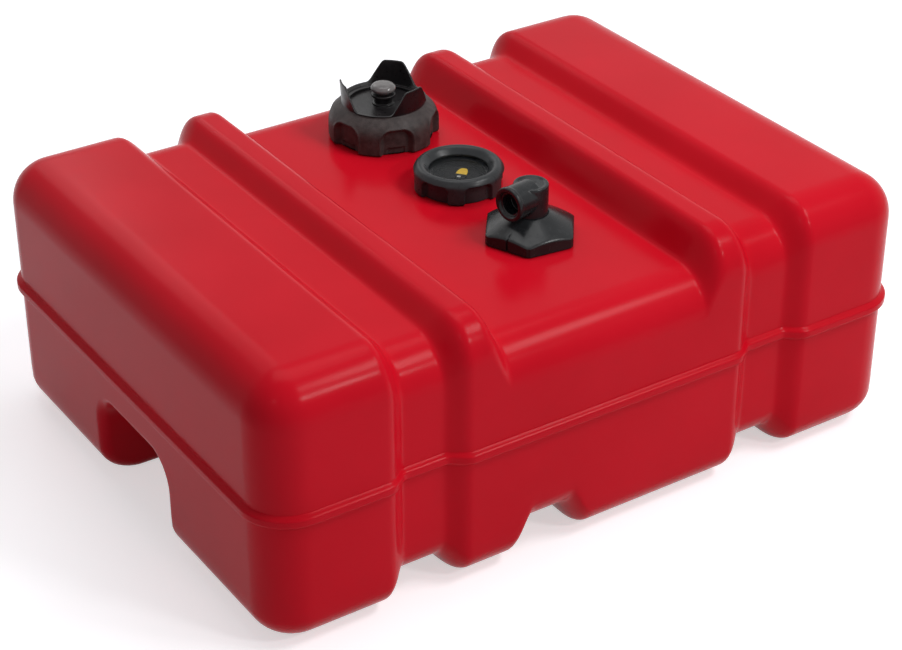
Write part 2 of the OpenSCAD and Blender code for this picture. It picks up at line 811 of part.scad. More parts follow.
// the crown gear's disc, hub and teeth, with the arm's socket
module arm_gear() {
    half = pitch_angle * crown_cut / 2 + 6;
    far = 3 * crown_r;
    color([0.9, 0.88, 0.82])
        at_pivot()
            difference() {
                union() {
                    translate([0, crown_back, 0])
                        rotate([90, 0, 0])
                            linear_extrude(crown_t)
                                union() {
                                    circle(hub_r);
                                    intersection() {
                                        circle(crown_r + tooth_face / 2);
                                        rotate(90 - arm_swing / 2)
                                            polygon([[0, 0], [far * cos(half), -far * sin(half)],
                                                [far / cos(half), 0], [far * cos(half), far * sin(half)]]);
                                    }
                                }
                    for (i = [0:crown_cut - 1])
                        rotate([0, arm_swing / 2 - mesh_shift - pitch_angle * (i - floor(crown_cut / 2)), 0])
                            translate([0, crown_y, crown_r - tooth_face / 2])
                                linear_extrude(tooth_face)
                                    rotate(90)
                                        tooth();
                    rotate([0, arm_low, 0])
                        translate([hub_r - 1.6, crown_back - crown_t, -tip_r - 1.7])
                            cube([socket_l, crown_t, 2 * tip_r + 3.4]);
                }
                cross_bar(pin_r + run_gap, front_leg_y, rear_leg_y - front_leg_y);
                rotate([0, arm_low, 0])
                    translate([tip_start - 0.2, crown_back - crown_t / 2, 0])
                        rotate([0, 90, 0])
                            cylinder(r = tip_r, h = socket_l + 4);
            }
}

module on_arm() {
    translate([row_x, crown_back - crown_t / 2, pivot_z])
        rotate([0, arm_low, 0])
            rotate([0, 90, 0])
                children();
}

module float_arm() {
    color([0.8, 0.8, 0.8])
        on_arm() {
            translate([0, 0, tip_start + tip_l])
                cylinder(r = wire_r, h = arm_l - float_l / 2 - tip_start - tip_l + float_bore_l);
            translate([0, 0, tip_start])
                cylinder(r = tip_r, h = tip_l + 1);
        }
}

module gauge_float() {
    edge = 3;
    color([0.16, 0.15, 0.14])
        on_arm()
            translate([0, 0, arm_l - float_l / 2])
                difference() {
                    rotate_extrude()
                        polygon([[0, 0], [float_r - edge, 0], [float_r, edge], [float_r, float_l - edge],
                            [float_r - edge, float_l], [0, float_l]]);
                    translate([0, 0, -1])
                        cylinder(r = wire_r, h = float_bore_l + 1);
                }
}

// ---- pickup ----
elbow_flange_t = 2.6;
pickup_gasket_t = 1.5;
elbow_flange_low = pickup_neck_h + pickup_gasket_t;
ledge_z = elbow_flange_low + elbow_flange_t + seat_gap;
nut_corner_r = nut_flat_r / cos(30);
nut_top_r = elbow_r + 1.2;
nut_top = nut_corner_h + (nut_corner_r - nut_top_r) * tan(nut_slope);
port_gap = 0.1;                                  // least gap between the port and the nut
port_z = max(port_h, nut_top + port_gap + port_r);
elbow_top = elbow_h + port_z - port_h;
spigot_low = -16;                                // lower end of the elbow's spigot
dip_socket_l = 14;                               // depth of the dip tube's socket in it
lip_l = 4;                                       // length of the port's lip
dip_low = wall + 3;

module at_pickup() {
    translate([row_x, pickup_y, floor_z])
        children();
}

module pickup_gasket() {
    color([0.12, 0.12, 0.12])
        at_pickup()
            translate([0, 0, pickup_neck_h])
                tube(pickup_neck_r - seat_gap, dip_r + 4, pickup_gasket_t);
}

module toward_port() {
    translate([0, 0, port_z])
        rotate([0, 0, 180 + port_turn])
            rotate([0, 90, 0])
                children();
}

module pickup_elbow() {
    edge = 2;
    top = elbow_top - elbow_flange_low;
    color([0.1, 0.11, 0.12])
        at_pickup()
            difference() {
                union() {
                    translate([0, 0, elbow_flange_low])
                        cylinder(r = pickup_neck_r - seat_gap, h = elbow_flange_t);
                    translate([0, 0, elbow_flange_low])
                        rotate_extrude()
                            polygon([[0, 0], [elbow_r, 0], [elbow_r, top - edge],
                                [elbow_r - edge * 0.35, top - edge * 0.35], [elbow_r - edge, top],
                                [elbow_r - 1.5 * edge, top], [elbow_r - 1.8 * edge, top - edge / 2],
                                [0, top - edge / 2]]);
                    toward_port()
                        rotate_extrude()
                            polygon([[0, 0], [port_r - 1, 0], [port_r - 1, port_l - lip_l - 0.6],
                                [port_r, port_l - lip_l], [port_r, port_l - 1],
                                [port_r - 1, port_l], [0, port_l]]);
                    translate([0, 0, spigot_low])
                        cylinder(r = dip_r + 2.5, h = elbow_flange_low - spigot_low + 1);
                }
                toward_port() {
                    translate([0, 0, port_l - port_thread_l])
                        cylinder(r = port_bore_r, h = port_thread_l + 1);
                    translate([0, 0, -fuel_r - 1])
                        cylinder(r = fuel_r + 0.5, h = fuel_r + 1 + port_l);
                }
                translate([0, 0, spigot_low - 1])
                    cylinder(r = fuel_r, h = port_z - spigot_low + 1);
                translate([0, 0, spigot_low - 1])
                    cylinder(r = dip_r, h = dip_socket_l + 1);
            }
}

module pickup_nut() {
    slit_w = 1.3;
    color([0.11, 0.12, 0.13])
        at_pickup()
            difference() {
                intersection() {
                    rotate([0, 0, nut_azimuth])
                        translate([0, 0, nut_low])
                            cylinder(r = nut_corner_r, h = nut_top, $fn = 6);
                    rotate_extrude()
                        polygon([[0, 0], [nut_corner_r + 1, 0],
                            [nut_corner_r + 1, nut_corner_h - tan(nut_slope)],
                            [nut_top_r, nut_top], [0, nut_top]]);
                }
                cylinder(r = pickup_neck_r + thread_gap, h = ledge_z);
                cylinder(r = elbow_r + seat_gap, h = nut_top + 1);
                cylinder(r = pickup_neck_r + neck_foot_w + seat_gap, h = neck_foot_t + seat_gap);
                rotate([0, 0, nut_azimuth - 30])
                    translate([nut_flat_r - 1.6, -slit_w / 2, 0])
                        cube([10, slit_w, nut_top]);
            }
}

module dip_tube() {
    color([0.86, 0.86, 0.84])
        translate([row_x, pickup_y, dip_low])
            tube(dip_r, fuel_r, floor_z + spigot_low + dip_socket_l - 1 - dip_low);
}

module pickup_strainer() {
    slots = 8;
    color([0.85, 0.8, 0.62])
        translate([row_x, pickup_y, wall + seat_gap])
            difference() {
                cylinder(r = strainer_r, h = strainer_h);
                translate([0, 0, dip_low - wall - seat_gap])
                    cylinder(r = dip_r, h = strainer_h);
                translate([0, 0, 1])
                    cylinder(r = fuel_r, h = strainer_h);
                for (i = [0:slots - 1])
                    rotate([0, 0, 360 / slots * i])
                        translate([dip_r - 2, -1, 3])
                            cube([10, 2, strainer_h - 10]);
            }
}

tank_top();
tank_base();
filler_neck();
gauge_neck();
pickup_neck();
fuel_cap_gasket();
fuel_cap_inner();
fuel_cap_shell();
vent_screw();
vent_plunger();
vent_seal();
gauge_gasket();
gauge_housing();
gauge_dial();
gauge_lens();
gauge_ring();
gauge_stem();
arm_pin();
pointer_shaft();
shaft_pinion();
gauge_pointer();
arm_gear();
float_arm();
gauge_float();
pickup_gasket();
pickup_elbow();
pickup_nut();
dip_tube();
pickup_strainer();
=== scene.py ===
"""Looks of a portable outboard fuel tank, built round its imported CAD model.

Every size is in millimetres, in the CAD model's frame: +Z up, X along the tank,
the origin on the floor under its middle. Meshes are scaled to metres when they
are written. Heights of the fittings are counted from the trough's floor.
"""

import logging
import math
from dataclasses import dataclass
from enum import Enum
from typing import Callable, Iterable, Sequence

import bmesh
import bpy
from mathutils import Matrix, Vector


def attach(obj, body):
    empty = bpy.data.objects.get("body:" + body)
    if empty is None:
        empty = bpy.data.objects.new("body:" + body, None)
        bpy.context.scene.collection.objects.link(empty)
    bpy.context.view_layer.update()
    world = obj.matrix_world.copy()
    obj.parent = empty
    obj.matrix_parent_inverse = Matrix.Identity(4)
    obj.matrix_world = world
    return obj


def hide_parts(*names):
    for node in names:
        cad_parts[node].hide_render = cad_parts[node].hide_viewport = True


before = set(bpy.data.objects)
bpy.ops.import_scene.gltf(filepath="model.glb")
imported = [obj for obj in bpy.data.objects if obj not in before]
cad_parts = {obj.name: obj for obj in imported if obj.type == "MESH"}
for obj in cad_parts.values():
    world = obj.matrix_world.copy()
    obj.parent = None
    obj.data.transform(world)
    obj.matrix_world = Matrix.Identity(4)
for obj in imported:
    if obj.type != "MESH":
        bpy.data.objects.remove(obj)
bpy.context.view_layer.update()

MM = 0.001
TROUGH_FLOOR = 199.5
ROW_X = 19.5
LOG = logging.getLogger("fuel_tank")

Color = tuple[float, float, float]
Point = tuple[float, float]
Rows = Sequence[Sequence[float]]
Step = Callable[[float, float], float]
Displace = Callable[[Vector], Vector]
Mesh = bmesh.types.BMesh
Socket = bpy.types.NodeSocket


# ---- small maths


def smooth(value: float) -> float:
    """Returns 0 below 0, 1 above 1 and an even S-curve between them."""
    c = min(1.0, max(0.0, value))
    return c * c * (3.0 - 2.0 * c)


def soft_min(a: float, b: float, blend: float) -> float:
    """Returns the smaller of two lengths, rounded where they cross.

    Args:
        a: First length.
        b: Second length.
        blend: Width of the rounding.

    Returns:
        The blended length.
    """
    h = max(0.0, blend - abs(a - b)) / blend
    return min(a, b) - h * h * blend * 0.25


def turn_between(angle: float, centre: float, pitch: float) -> float:
    """Returns an angle's distance from the nearest of a ring of evenly spaced centres.

    Args:
        angle: The angle, in degrees.
        centre: One of the centres, in degrees.
        pitch: Degrees between neighbouring centres.

    Returns:
        The signed distance, in degrees.
    """
    return (angle - centre + pitch / 2) % pitch - pitch / 2


def azimuth(co: Vector) -> float:
    """Returns a point's direction round Z, in degrees."""
    return math.degrees(math.atan2(co.y, co.x))


def at_radius(co: Vector, radius: float) -> Vector:
    """Moves a point straight out from the Z axis, or in to it, to a radius."""
    scale = radius / co.xy.length
    return Vector((co.x * scale, co.y * scale, co.z))


def arch_distance(u: float, z: float, half_width: float, height: float, radius: float) -> float:
    """Measures how far a point lies outside an arch that is open at its foot.

    Args:
        u: Distance from the arch's middle line.
        z: Height of the point.
        half_width: Half the arch's width.
        height: Height of the arch.
        radius: Radius of its top corners.

    Returns:
        The distance, negative inside the arch.
    """
    du, dz = abs(u) - (half_width - radius), z - (height - radius)
    if du > 0 and dz > 0:
        return math.hypot(du, dz) - radius
    return max(abs(u) - half_width, z - height)


# ---- finishes


@dataclass(frozen=True)
class Finish:
    """A surface finish, whose material is made once.

    Attributes:
        name: Name of the finish.
    """

    name: str

    def material(self) -> bpy.types.Material:
        """Builds the material, or returns it if it's there already."""
        title = f"{self.name}_finish"
        made = bpy.data.materials.get(title)
        if made:
            return made
        tree = NodeTree(title)
        self.wire(tree)
        return tree.material

    def wire(self, tree: "NodeTree") -> None:
        """Adds the finish's own nodes to a tree that holds only a shader."""
        raise NotImplementedError


@dataclass(frozen=True)
class MouldedFinish(Finish):
    """A moulded plastic, rubber or foam with clouded colour and a fine grain.

    Attributes:
        deep: Darker of its two colours, linear.
        light: Lighter of its two colours, linear.
        roughness: Lowest and highest roughness.
        grain: Size of a grain in millimetres.
        relief: Height of the grain in millimetres.
        cloud: Size of the colour clouds in millimetres.
        specular: Strength of the surface reflection.
    """

    deep: Color
    light: Color
    roughness: tuple[float, float]
    grain: float
    relief: float
    cloud: float = 60.0
    specular: float = 0.5

    def wire(self, tree: "NodeTree") -> None:
        """Adds the clouds, the uneven gloss and the grain."""
        shader = tree.shader
        fill(shader, Specular_IOR_Level=self.specular)
        tree.join(tree.mix(tree.noise(self.cloud, 3.0), self.deep, self.light), shader.inputs["Base Color"])
        fine = tree.noise(self.cloud / 4, 2.0)
        tree.join(tree.remap(fine, *self.roughness), shader.inputs["Roughness"])
        tree.bump(tree.grain(self.grain), self.relief)


@dataclass(frozen=True)
class MetalFinish(Finish):
    """A drawn or turned metal with fine lines along one axis.

    Attributes:
        color: Its colour, linear.
        roughness: Lowest and highest roughness.
        stretch: Scale of the lines along X, Y and Z.
    """

    color: Color
    roughness: tuple[float, float] = (0.22, 0.42)
    stretch: tuple[float, float, float] = (1.0, 1.0, 0.05)

    def wire(self, tree: "NodeTree") -> None:
        """Adds the drawn lines to the colour, the gloss and the relief."""
        fill(tree.shader, Metallic=1.0)
        lines = tree.noise(0.6, 2.0, self.stretch)
        darker = tuple(c * 0.7 for c in self.color)
        tree.join(tree.mix(lines, darker, self.color), tree.shader.inputs["Base Color"])
        tree.join(tree.remap(lines, *self.roughness), tree.shader.inputs["Roughness"])
        tree.bump(lines, 0.01)


@dataclass(frozen=True)
class WindowFinish(Finish):
    """A clear moulded window with a trace of dust.

    Attributes:
        tint: Colour of the haze in it, linear.
        haze: Share of the light that the haze and the gloss take.
    """

    tint: Color
    haze: float

    def wire(self, tree: "NodeTree") -> None:
        """Adds the haze and its dust."""
        shader = tree.shader
        fill(shader, Alpha=self.haze)
        dust = tree.noise(14.0, 3.0)
        paler = tuple(min(1.0, c * 1.5) for c in self.tint)
        tree.join(tree.mix(dust, self.tint, paler), shader.inputs["Base Color"])
        tree.join(tree.remap(dust, 0.03, 0.09), shader.inputs["Roughness"])


def fill(node: bpy.types.Node, **values: float) -> None:
    """Sets a node's inputs, whose names have _ for a space."""
    for name, value in values.items():
        node.inputs[name.replace("_", " ")].default_value = value


class NodeTree:
    """A material's node tree, with the few node groups that the finishes share."""

    def __init__(self, name: str) -> None:
        """Makes an empty tree that ends in one principled shader."""
        self.material = bpy.data.materials.new(name)
        self.material.use_nodes = True
        self.nodes = self.material.node_tree.nodes
        self.links = self.material.node_tree.links
        self.nodes.clear()
        output = self.add("OutputMaterial")
        self.shader = self.add("BsdfPrincipled")
        self.place = self.add("TexCoord").outputs["Object"]
        self.join(self.shader.outputs["BSDF"], output.inputs["Surface"])

    def add(self, kind: str, **values: float) -> bpy.types.Node:
        """Adds a node and fills its inputs."""
        node = self.nodes.new(f"ShaderNode{kind}")
        fill(node, **values)
        return node

    def join(self, source: Socket, target: Socket) -> None:
        """Links one socket to another."""
        self.links.new(source, target)

    def stretched(self, scale: Sequence[float]) -> Socket:
        """Returns the object's coordinates scaled along each axis."""
        mapping = self.add("Mapping", Scale=scale)
        self.join(self.place, mapping.inputs["Vector"])
        return mapping.outputs["Vector"]

    def noise(self, size: float, detail: float, stretch: Sequence[float] | None = None) -> Socket:
        """Adds a noise texture.

        Args:
            size: Size of its features in millimetres.
            detail: Octaves of finer noise.
            stretch: Scale along each axis, or None for an even noise.

        Returns:
            The noise's value, around 0.5.
        """
        node = self.add("TexNoise", Scale=1.0 / (size * MM), Detail=detail)
        self.join(self.stretched(stretch) if stretch else self.place, node.inputs["Vector"])
        return node.outputs["Fac"]

    def grain(self, size: float) -> Socket:
        """Adds a pebble grain of rounded cells.

        Args:
            size: Size of a pebble in millimetres.

        Returns:
            The grain's height, from 0 to 1.
        """
        node = self.add("TexVoronoi", Scale=1.0 / (size * MM))
        node.feature = "SMOOTH_F1"
        fill(node, Smoothness=0.6)
        self.join(self.place, node.inputs["Vector"])
        return node.outputs["Distance"]

    def mix(self, factor: Socket, low: Color, high: Color) -> Socket:
        """Adds a ramp between two colours that follows a noise's value."""
        ramp = self.add("ValToRGB")
        for stop, place, color in zip(ramp.color_ramp.elements, (0.35, 0.65), (low, high)):
            stop.position, stop.color = place, (*color, 1.0)
        self.join(factor, ramp.inputs["Fac"])
        return ramp.outputs["Color"]

    def remap(self, factor: Socket, low: float, high: float) -> Socket:
        """Adds a map from a noise's value to a range."""
        node = self.add("MapRange", From_Min=0.3, From_Max=0.7, To_Min=low, To_Max=high)
        self.join(factor, node.inputs["Value"])
        return node.outputs["Result"]

    def bump(self, height: Socket, relief: float) -> None:
        """Presses a height into the shader's normal, relief millimetres deep."""
        node = self.add("Bump", Strength=1.0, Distance=relief * MM)
        self.join(height, node.inputs["Height"])
        self.join(node.outputs["Normal"], self.shader.inputs["Normal"])


TANK_RED = MouldedFinish("tank_red", (0.560, 0.0040, 0.0140), (0.605, 0.0055, 0.0170),
    (0.19, 0.24), 1.5, 0.030, 120.0, 0.055)
NECK_RED = MouldedFinish("neck_red", (0.50, 0.0045, 0.0125), (0.56, 0.0060, 0.0150),
    (0.32, 0.40), 0.9, 0.012, 25.0, 0.15)
CAP_SKIRT = MouldedFinish("cap_skirt", (0.030, 0.0225, 0.0215), (0.056, 0.0440, 0.0420),
    (0.45, 0.62), 1.1, 0.120, 6.0, 0.22)
CAP_SMOOTH = MouldedFinish("cap_smooth", (0.0085, 0.0072, 0.0078), (0.0130, 0.0112, 0.0118),
    (0.26, 0.36), 0.9, 0.006, 16.0, 0.25)
RING_BLACK = MouldedFinish("ring_black", (0.0200, 0.0215, 0.0230), (0.0270, 0.0285, 0.0300),
    (0.26, 0.36), 0.9, 0.012, 18.0, 0.18)
NUT_BLACK = MouldedFinish("nut_black", (0.0110, 0.0122, 0.0132), (0.0155, 0.0170, 0.0182),
    (0.20, 0.30), 0.9, 0.012, 20.0, 0.22)
VENT_GREY = MouldedFinish("vent_grey", (0.110, 0.100, 0.098), (0.155, 0.143, 0.139),
    (0.12, 0.22), 0.8, 0.006, 5.0, 0.35)
SEAL_BLACK = MouldedFinish("seal_black", (0.010, 0.010, 0.010), (0.016, 0.016, 0.016),
    (0.55, 0.70), 0.5, 0.010, 8.0)
DIAL_BLACK = MouldedFinish("dial_black", (0.0100, 0.0100, 0.0105), (0.0150, 0.0150, 0.0158),
    (0.55, 0.70), 0.4, 0.006, 9.0, 0.12)
POINTER_YELLOW = MouldedFinish("pointer_yellow", (0.88, 0.55, 0.045), (0.94, 0.61, 0.065),
    (0.45, 0.55), 0.5, 0.004, 6.0, 0.20)
ACETAL = MouldedFinish("natural_acetal", (0.66, 0.63, 0.55), (0.74, 0.71, 0.63),
    (0.30, 0.42), 0.6, 0.004, 12.0)
FLOAT_FOAM = MouldedFinish("float_foam", (0.020, 0.017, 0.014), (0.034, 0.029, 0.024),
    (0.70, 0.85), 0.7, 0.080, 7.0)
PICKUP_POLY = MouldedFinish("pickup_poly", (0.60, 0.60, 0.56), (0.70, 0.70, 0.66),
    (0.35, 0.48), 0.7, 0.006, 20.0)
STEEL = MetalFinish("drawn_steel", (0.62, 0.61, 0.59))
LENS_CLEAR = WindowFinish("lens_clear", (0.020, 0.022, 0.024), 0.12)


# ---- mesh tools


SECTORS = 12


class Round(Enum):
    """How finely a turned piece is divided round its axis, in multiples of SECTORS."""

    COARSE = 96
    FINE = 192
    CARVED = 420


@dataclass(frozen=True)
class Corner:
    """A corner of a turned piece's profile.

    Attributes:
        r: Distance from the axis.
        z: Height.
        soft: Length over which the corner is rounded.
    """

    r: float
    z: float
    soft: float = 0.0


def rounded(rows: Rows, steps: int = 5) -> list[Point]:
    """Rounds the corners of a profile.

    Args:
        rows: Radius, height and any rounding of each corner in turn, as in Corner.
        steps: Segments in each rounding.

    Returns:
        The points of the rounded profile.
    """
    corners = [Corner(*row) for row in rows]
    points: list[Point] = []
    for i, c in enumerate(corners):
        here = Vector((c.r, c.z))
        if c.soft <= 0:
            points.append((c.r, c.z))
            continue
        before = Vector((corners[i - 1].r, corners[i - 1].z)) - here
        after_c = corners[(i + 1) % len(corners)]
        after = Vector((after_c.r, after_c.z)) - here
        start = here + before.normalized() * min(c.soft, before.length * 0.48)
        end = here + after.normalized() * min(c.soft, after.length * 0.48)
        for k in range(steps + 1):
            s = k / steps
            p = start * (1 - s) ** 2 + here * 2 * s * (1 - s) + end * s * s
            points.append((p.x, p.y))
    return points


def refined(points: Sequence[Point], step: Step, closed: bool) -> list[Point]:
    """Divides the long segments of a profile.

    Args:
        points: The profile.
        step: Gives the longest segment allowed at a radius and height.
        closed: Whether the last point joins the first.

    Returns:
        The profile with the points that it needed.
    """
    result: list[Point] = []
    last = len(points) if closed else len(points) - 1
    for i in range(last):
        a, b = Vector(points[i]), Vector(points[(i + 1) % len(points)])
        middle = (a + b) / 2
        parts = max(1, math.ceil((b - a).length / step(middle.x, middle.y)))
        result += [tuple(a.lerp(b, k / parts)) for k in range(parts)]
    return result if closed else [*result, tuple(points[-1])]


def turned(rows: Rows, around: Round, step: Step | None = None, steps: int = 5) -> Mesh:
    """Spins a profile about Z into a closed surface.

    Args:
        rows: Its corners, as in rounded(). One that starts on the axis ends there, any other is a loop.
        around: How finely it's divided.
        step: Gives the longest segment allowed, as in refined(), or None to divide none.
        steps: Segments in each rounding.

    Returns:
        The turned mesh.
    """
    points = rounded(rows, steps)
    closed = points[0][0] > 0
    if step:
        points = refined(points, step, closed)
    bm = bmesh.new()
    verts = [bm.verts.new((r, 0.0, z)) for r, z in points]
    pairs = list(zip(verts, verts[1:])) + ([(verts[-1], verts[0])] if closed else [])
    edges = [bm.edges.new(pair) for pair in pairs]
    bmesh.ops.spin(bm, geom=verts + edges, cent=(0, 0, 0), axis=(0, 0, 1), angle=math.tau / SECTORS,
                   steps=around.value // SECTORS)
    sector = bpy.data.meshes.new("sector")
    bm.to_mesh(sector)
    for _ in range(SECTORS - 1):
        sector.transform(Matrix.Rotation(math.tau / SECTORS, 4, "Z"))
        bm.from_mesh(sector)
    bpy.data.meshes.remove(sector)
    bmesh.ops.remove_doubles(bm, verts=bm.verts, dist=1e-4)
    bmesh.ops.recalc_face_normals(bm, faces=bm.faces)
    return bm


def thread_ridge(root: float, crest: float, low: float, pitch: float, turns: float,
                 steps: int = 72) -> Mesh:
    """Spins one screw thread about Z, faded out at both ends.

    Args:
        root: Radius of the wall that carries it.
        crest: Radius of its crest, inside the root for a nut's thread.
        low: Height of its start.
        pitch: Rise in one turn.
        turns: Number of turns.
        steps: Segments in a turn.

    Returns:
        The thread's mesh.
    """
    bm = bmesh.new()
    under = root - math.copysign(0.3, crest - root)
    outline = [(under, -0.34), (crest, -0.10), (crest, 0.10), (under, 0.34)]
    verts = [bm.verts.new((r, 0.0, low + z * pitch)) for r, z in outline]
    face = bm.faces.new(verts)
    bmesh.ops.spin(bm, geom=[face, *face.edges, *face.verts], cent=(0, 0, 0), axis=(0, 0, 1),
                   dvec=(0, 0, pitch / steps), angle=math.tau * turns, steps=round(steps * turns))
    top = low + pitch * turns
    for v in bm.verts:
        radius = math.hypot(v.co.x, v.co.y)
        fade = smooth(2.5 * (v.co.z - low + 0.1) / pitch) * smooth(2.5 * (top - v.co.z + 0.1) / pitch)
        scale = (under + (radius - under) * fade) / radius
        v.co.x *= scale
        v.co.y *= scale
    bmesh.ops.recalc_face_normals(bm, faces=bm.faces)
    return bm


def displaced(bm: Mesh, move: Displace) -> Mesh:
    """Moves every vertex by a rule and returns the mesh."""
    for v in bm.verts:
        v.co = move(v.co)
    return bm


def soften(bm: Mesh, edges: Sequence[bmesh.types.BMEdge], offset: float, segments: int,
           clamp: bool = False) -> None:
    """Rounds edges of a mesh.

    Args:
        bm: The mesh.
        edges: The edges.
        offset: How far the rounding reaches from each edge.
        segments: Segments across the rounding.
        clamp: Whether the rounding is held back where two would overlap.
    """
    bmesh.ops.bevel(bm, geom=edges, offset=offset, offset_type="OFFSET", segments=segments, profile=0.5,
                    affect="EDGES", material=-1, clamp_overlap=clamp)


def sliced(bm: Mesh, at: Sequence[float], normal: Sequence[float], **cleared: bool) -> None:
    """Adds a loop of edges where a plane meets a mesh, and may clear one side of it."""
    bmesh.ops.bisect_plane(bm, geom=[*bm.verts, *bm.edges, *bm.faces], dist=1e-3, plane_co=at,
                           plane_no=normal, **cleared)


def block(size: Sequence[float], centre: Sequence[float]) -> Mesh:
    """Makes a plain block of a size about a centre."""
    bm = bmesh.new()
    bmesh.ops.create_cube(bm, size=1.0)
    bmesh.ops.scale(bm, verts=bm.verts, vec=size)
    bmesh.ops.translate(bm, verts=bm.verts, vec=centre)
    return bm


def joined(meshes: Iterable[Mesh]) -> Mesh:
    """Puts several meshes into one, without welding them."""
    whole = bmesh.new()
    for bm in meshes:
        data = bpy.data.meshes.new("part")
        bm.to_mesh(data)
        bm.free()
        whole.from_mesh(data)
        bpy.data.meshes.remove(data)
    return whole


def as_object(bm: Mesh, name: str) -> bpy.types.Object:
    """Writes a mesh into a new object in the scene and frees it."""
    data = bpy.data.meshes.new(name)
    bm.to_mesh(data)
    bm.free()
    obj = bpy.data.objects.new(name, data)
    bpy.context.scene.collection.objects.link(obj)
    return obj


def applied(obj: bpy.types.Object) -> Mesh:
    """Applies an object's modifiers, removes the object and returns its mesh."""
    graph = bpy.context.evaluated_depsgraph_get()
    bm = bmesh.new()
    bm.from_object(obj, graph)
    bpy.data.objects.remove(obj)
    return bm


def combined(base: Mesh, tool: Mesh, operation: str) -> Mesh:
    """Adds one closed mesh to another, or cuts it away.

    Args:
        base: The mesh that is kept or cut.
        tool: The mesh that is added or cut away.
        operation: UNION or DIFFERENCE.

    Returns:
        The combined mesh.
    """
    body, other = as_object(base, "base"), as_object(tool, "tool")
    modifier = body.modifiers.new("combine", "BOOLEAN")
    modifier.operation = operation
    modifier.solver = "EXACT"
    modifier.object = other
    bm = applied(body)
    bpy.data.objects.remove(other)
    return bm


def blended(bm: Mesh, voxel: float, passes: int) -> Mesh:
    """Remeshes a solid in even cells and smooths its edges, as a mould's are.

    Args:
        bm: The solid.
        voxel: Size of a cell.
        passes: Smoothing passes.

    Returns:
        The blended mesh.
    """
    obj = as_object(bm, "blend")
    remesh = obj.modifiers.new("cells", "REMESH")
    remesh.mode = "VOXEL"
    remesh.voxel_size = voxel
    ease = obj.modifiers.new("ease", "SMOOTH")
    ease.factor = 0.5
    ease.iterations = passes
    return applied(obj)


class Fitting:
    """A piece of one CAD body: where it stands, what it's called and how it's finished."""

    def __init__(self, name: str, body: str, slot: str, node: str) -> None:
        """Names the piece, its body and the CAD node it stands for; the material slot's name is stored but not
        used.
        """
        self.name, self.body, self.slot, self.node = name, body, slot, node

    def finish(self, bm: Mesh, at: Sequence[float], *finishes: Finish,
               crease: float = 38.0) -> bpy.types.Object:
        """Places the mesh, shades it and joins it to its body.

        Args:
            bm: The piece's mesh, in millimetres about its own centre.
            at: Where that centre lies, in millimetres.
            finishes: Its finishes, in the order of the faces' material numbers.
            crease: Angle in degrees above which an edge stays sharp.

        Returns:
            The finished object.
        """
        bmesh.ops.translate(bm, verts=bm.verts, vec=at)
        bmesh.ops.scale(bm, verts=bm.verts, vec=(MM, MM, MM))
        obj = as_object(bm, self.name)
        obj.data.shade_smooth()
        obj.data.set_sharp_from_angle(angle=math.radians(crease))
        for finish in finishes:
            obj.data.materials.append(finish.material())
        weigh = obj.modifiers.new("even_shading", "WEIGHTED_NORMAL")
        weigh.keep_sharp = True
        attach(obj, self.body)
        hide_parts(self.node)
        LOG.info("%s: %d faces on body %s", self.name, len(obj.data.polygons), self.body)
        return obj


@dataclass
class Station:
    """A fitting's place in the row that stands on the trough's floor.

    Attributes:
        y: Distance along Y from the tank's middle.
    """

    y: float

    def add(self, fitting: Fitting, bm: Mesh, *finishes: Finish, crease: float = 38.0) -> None:
        """Finishes a piece over the middle of the fitting's foot."""
        fitting.finish(bm, (ROW_X, self.y, TROUGH_FLOOR), *finishes, crease=crease)


# ---- the tank


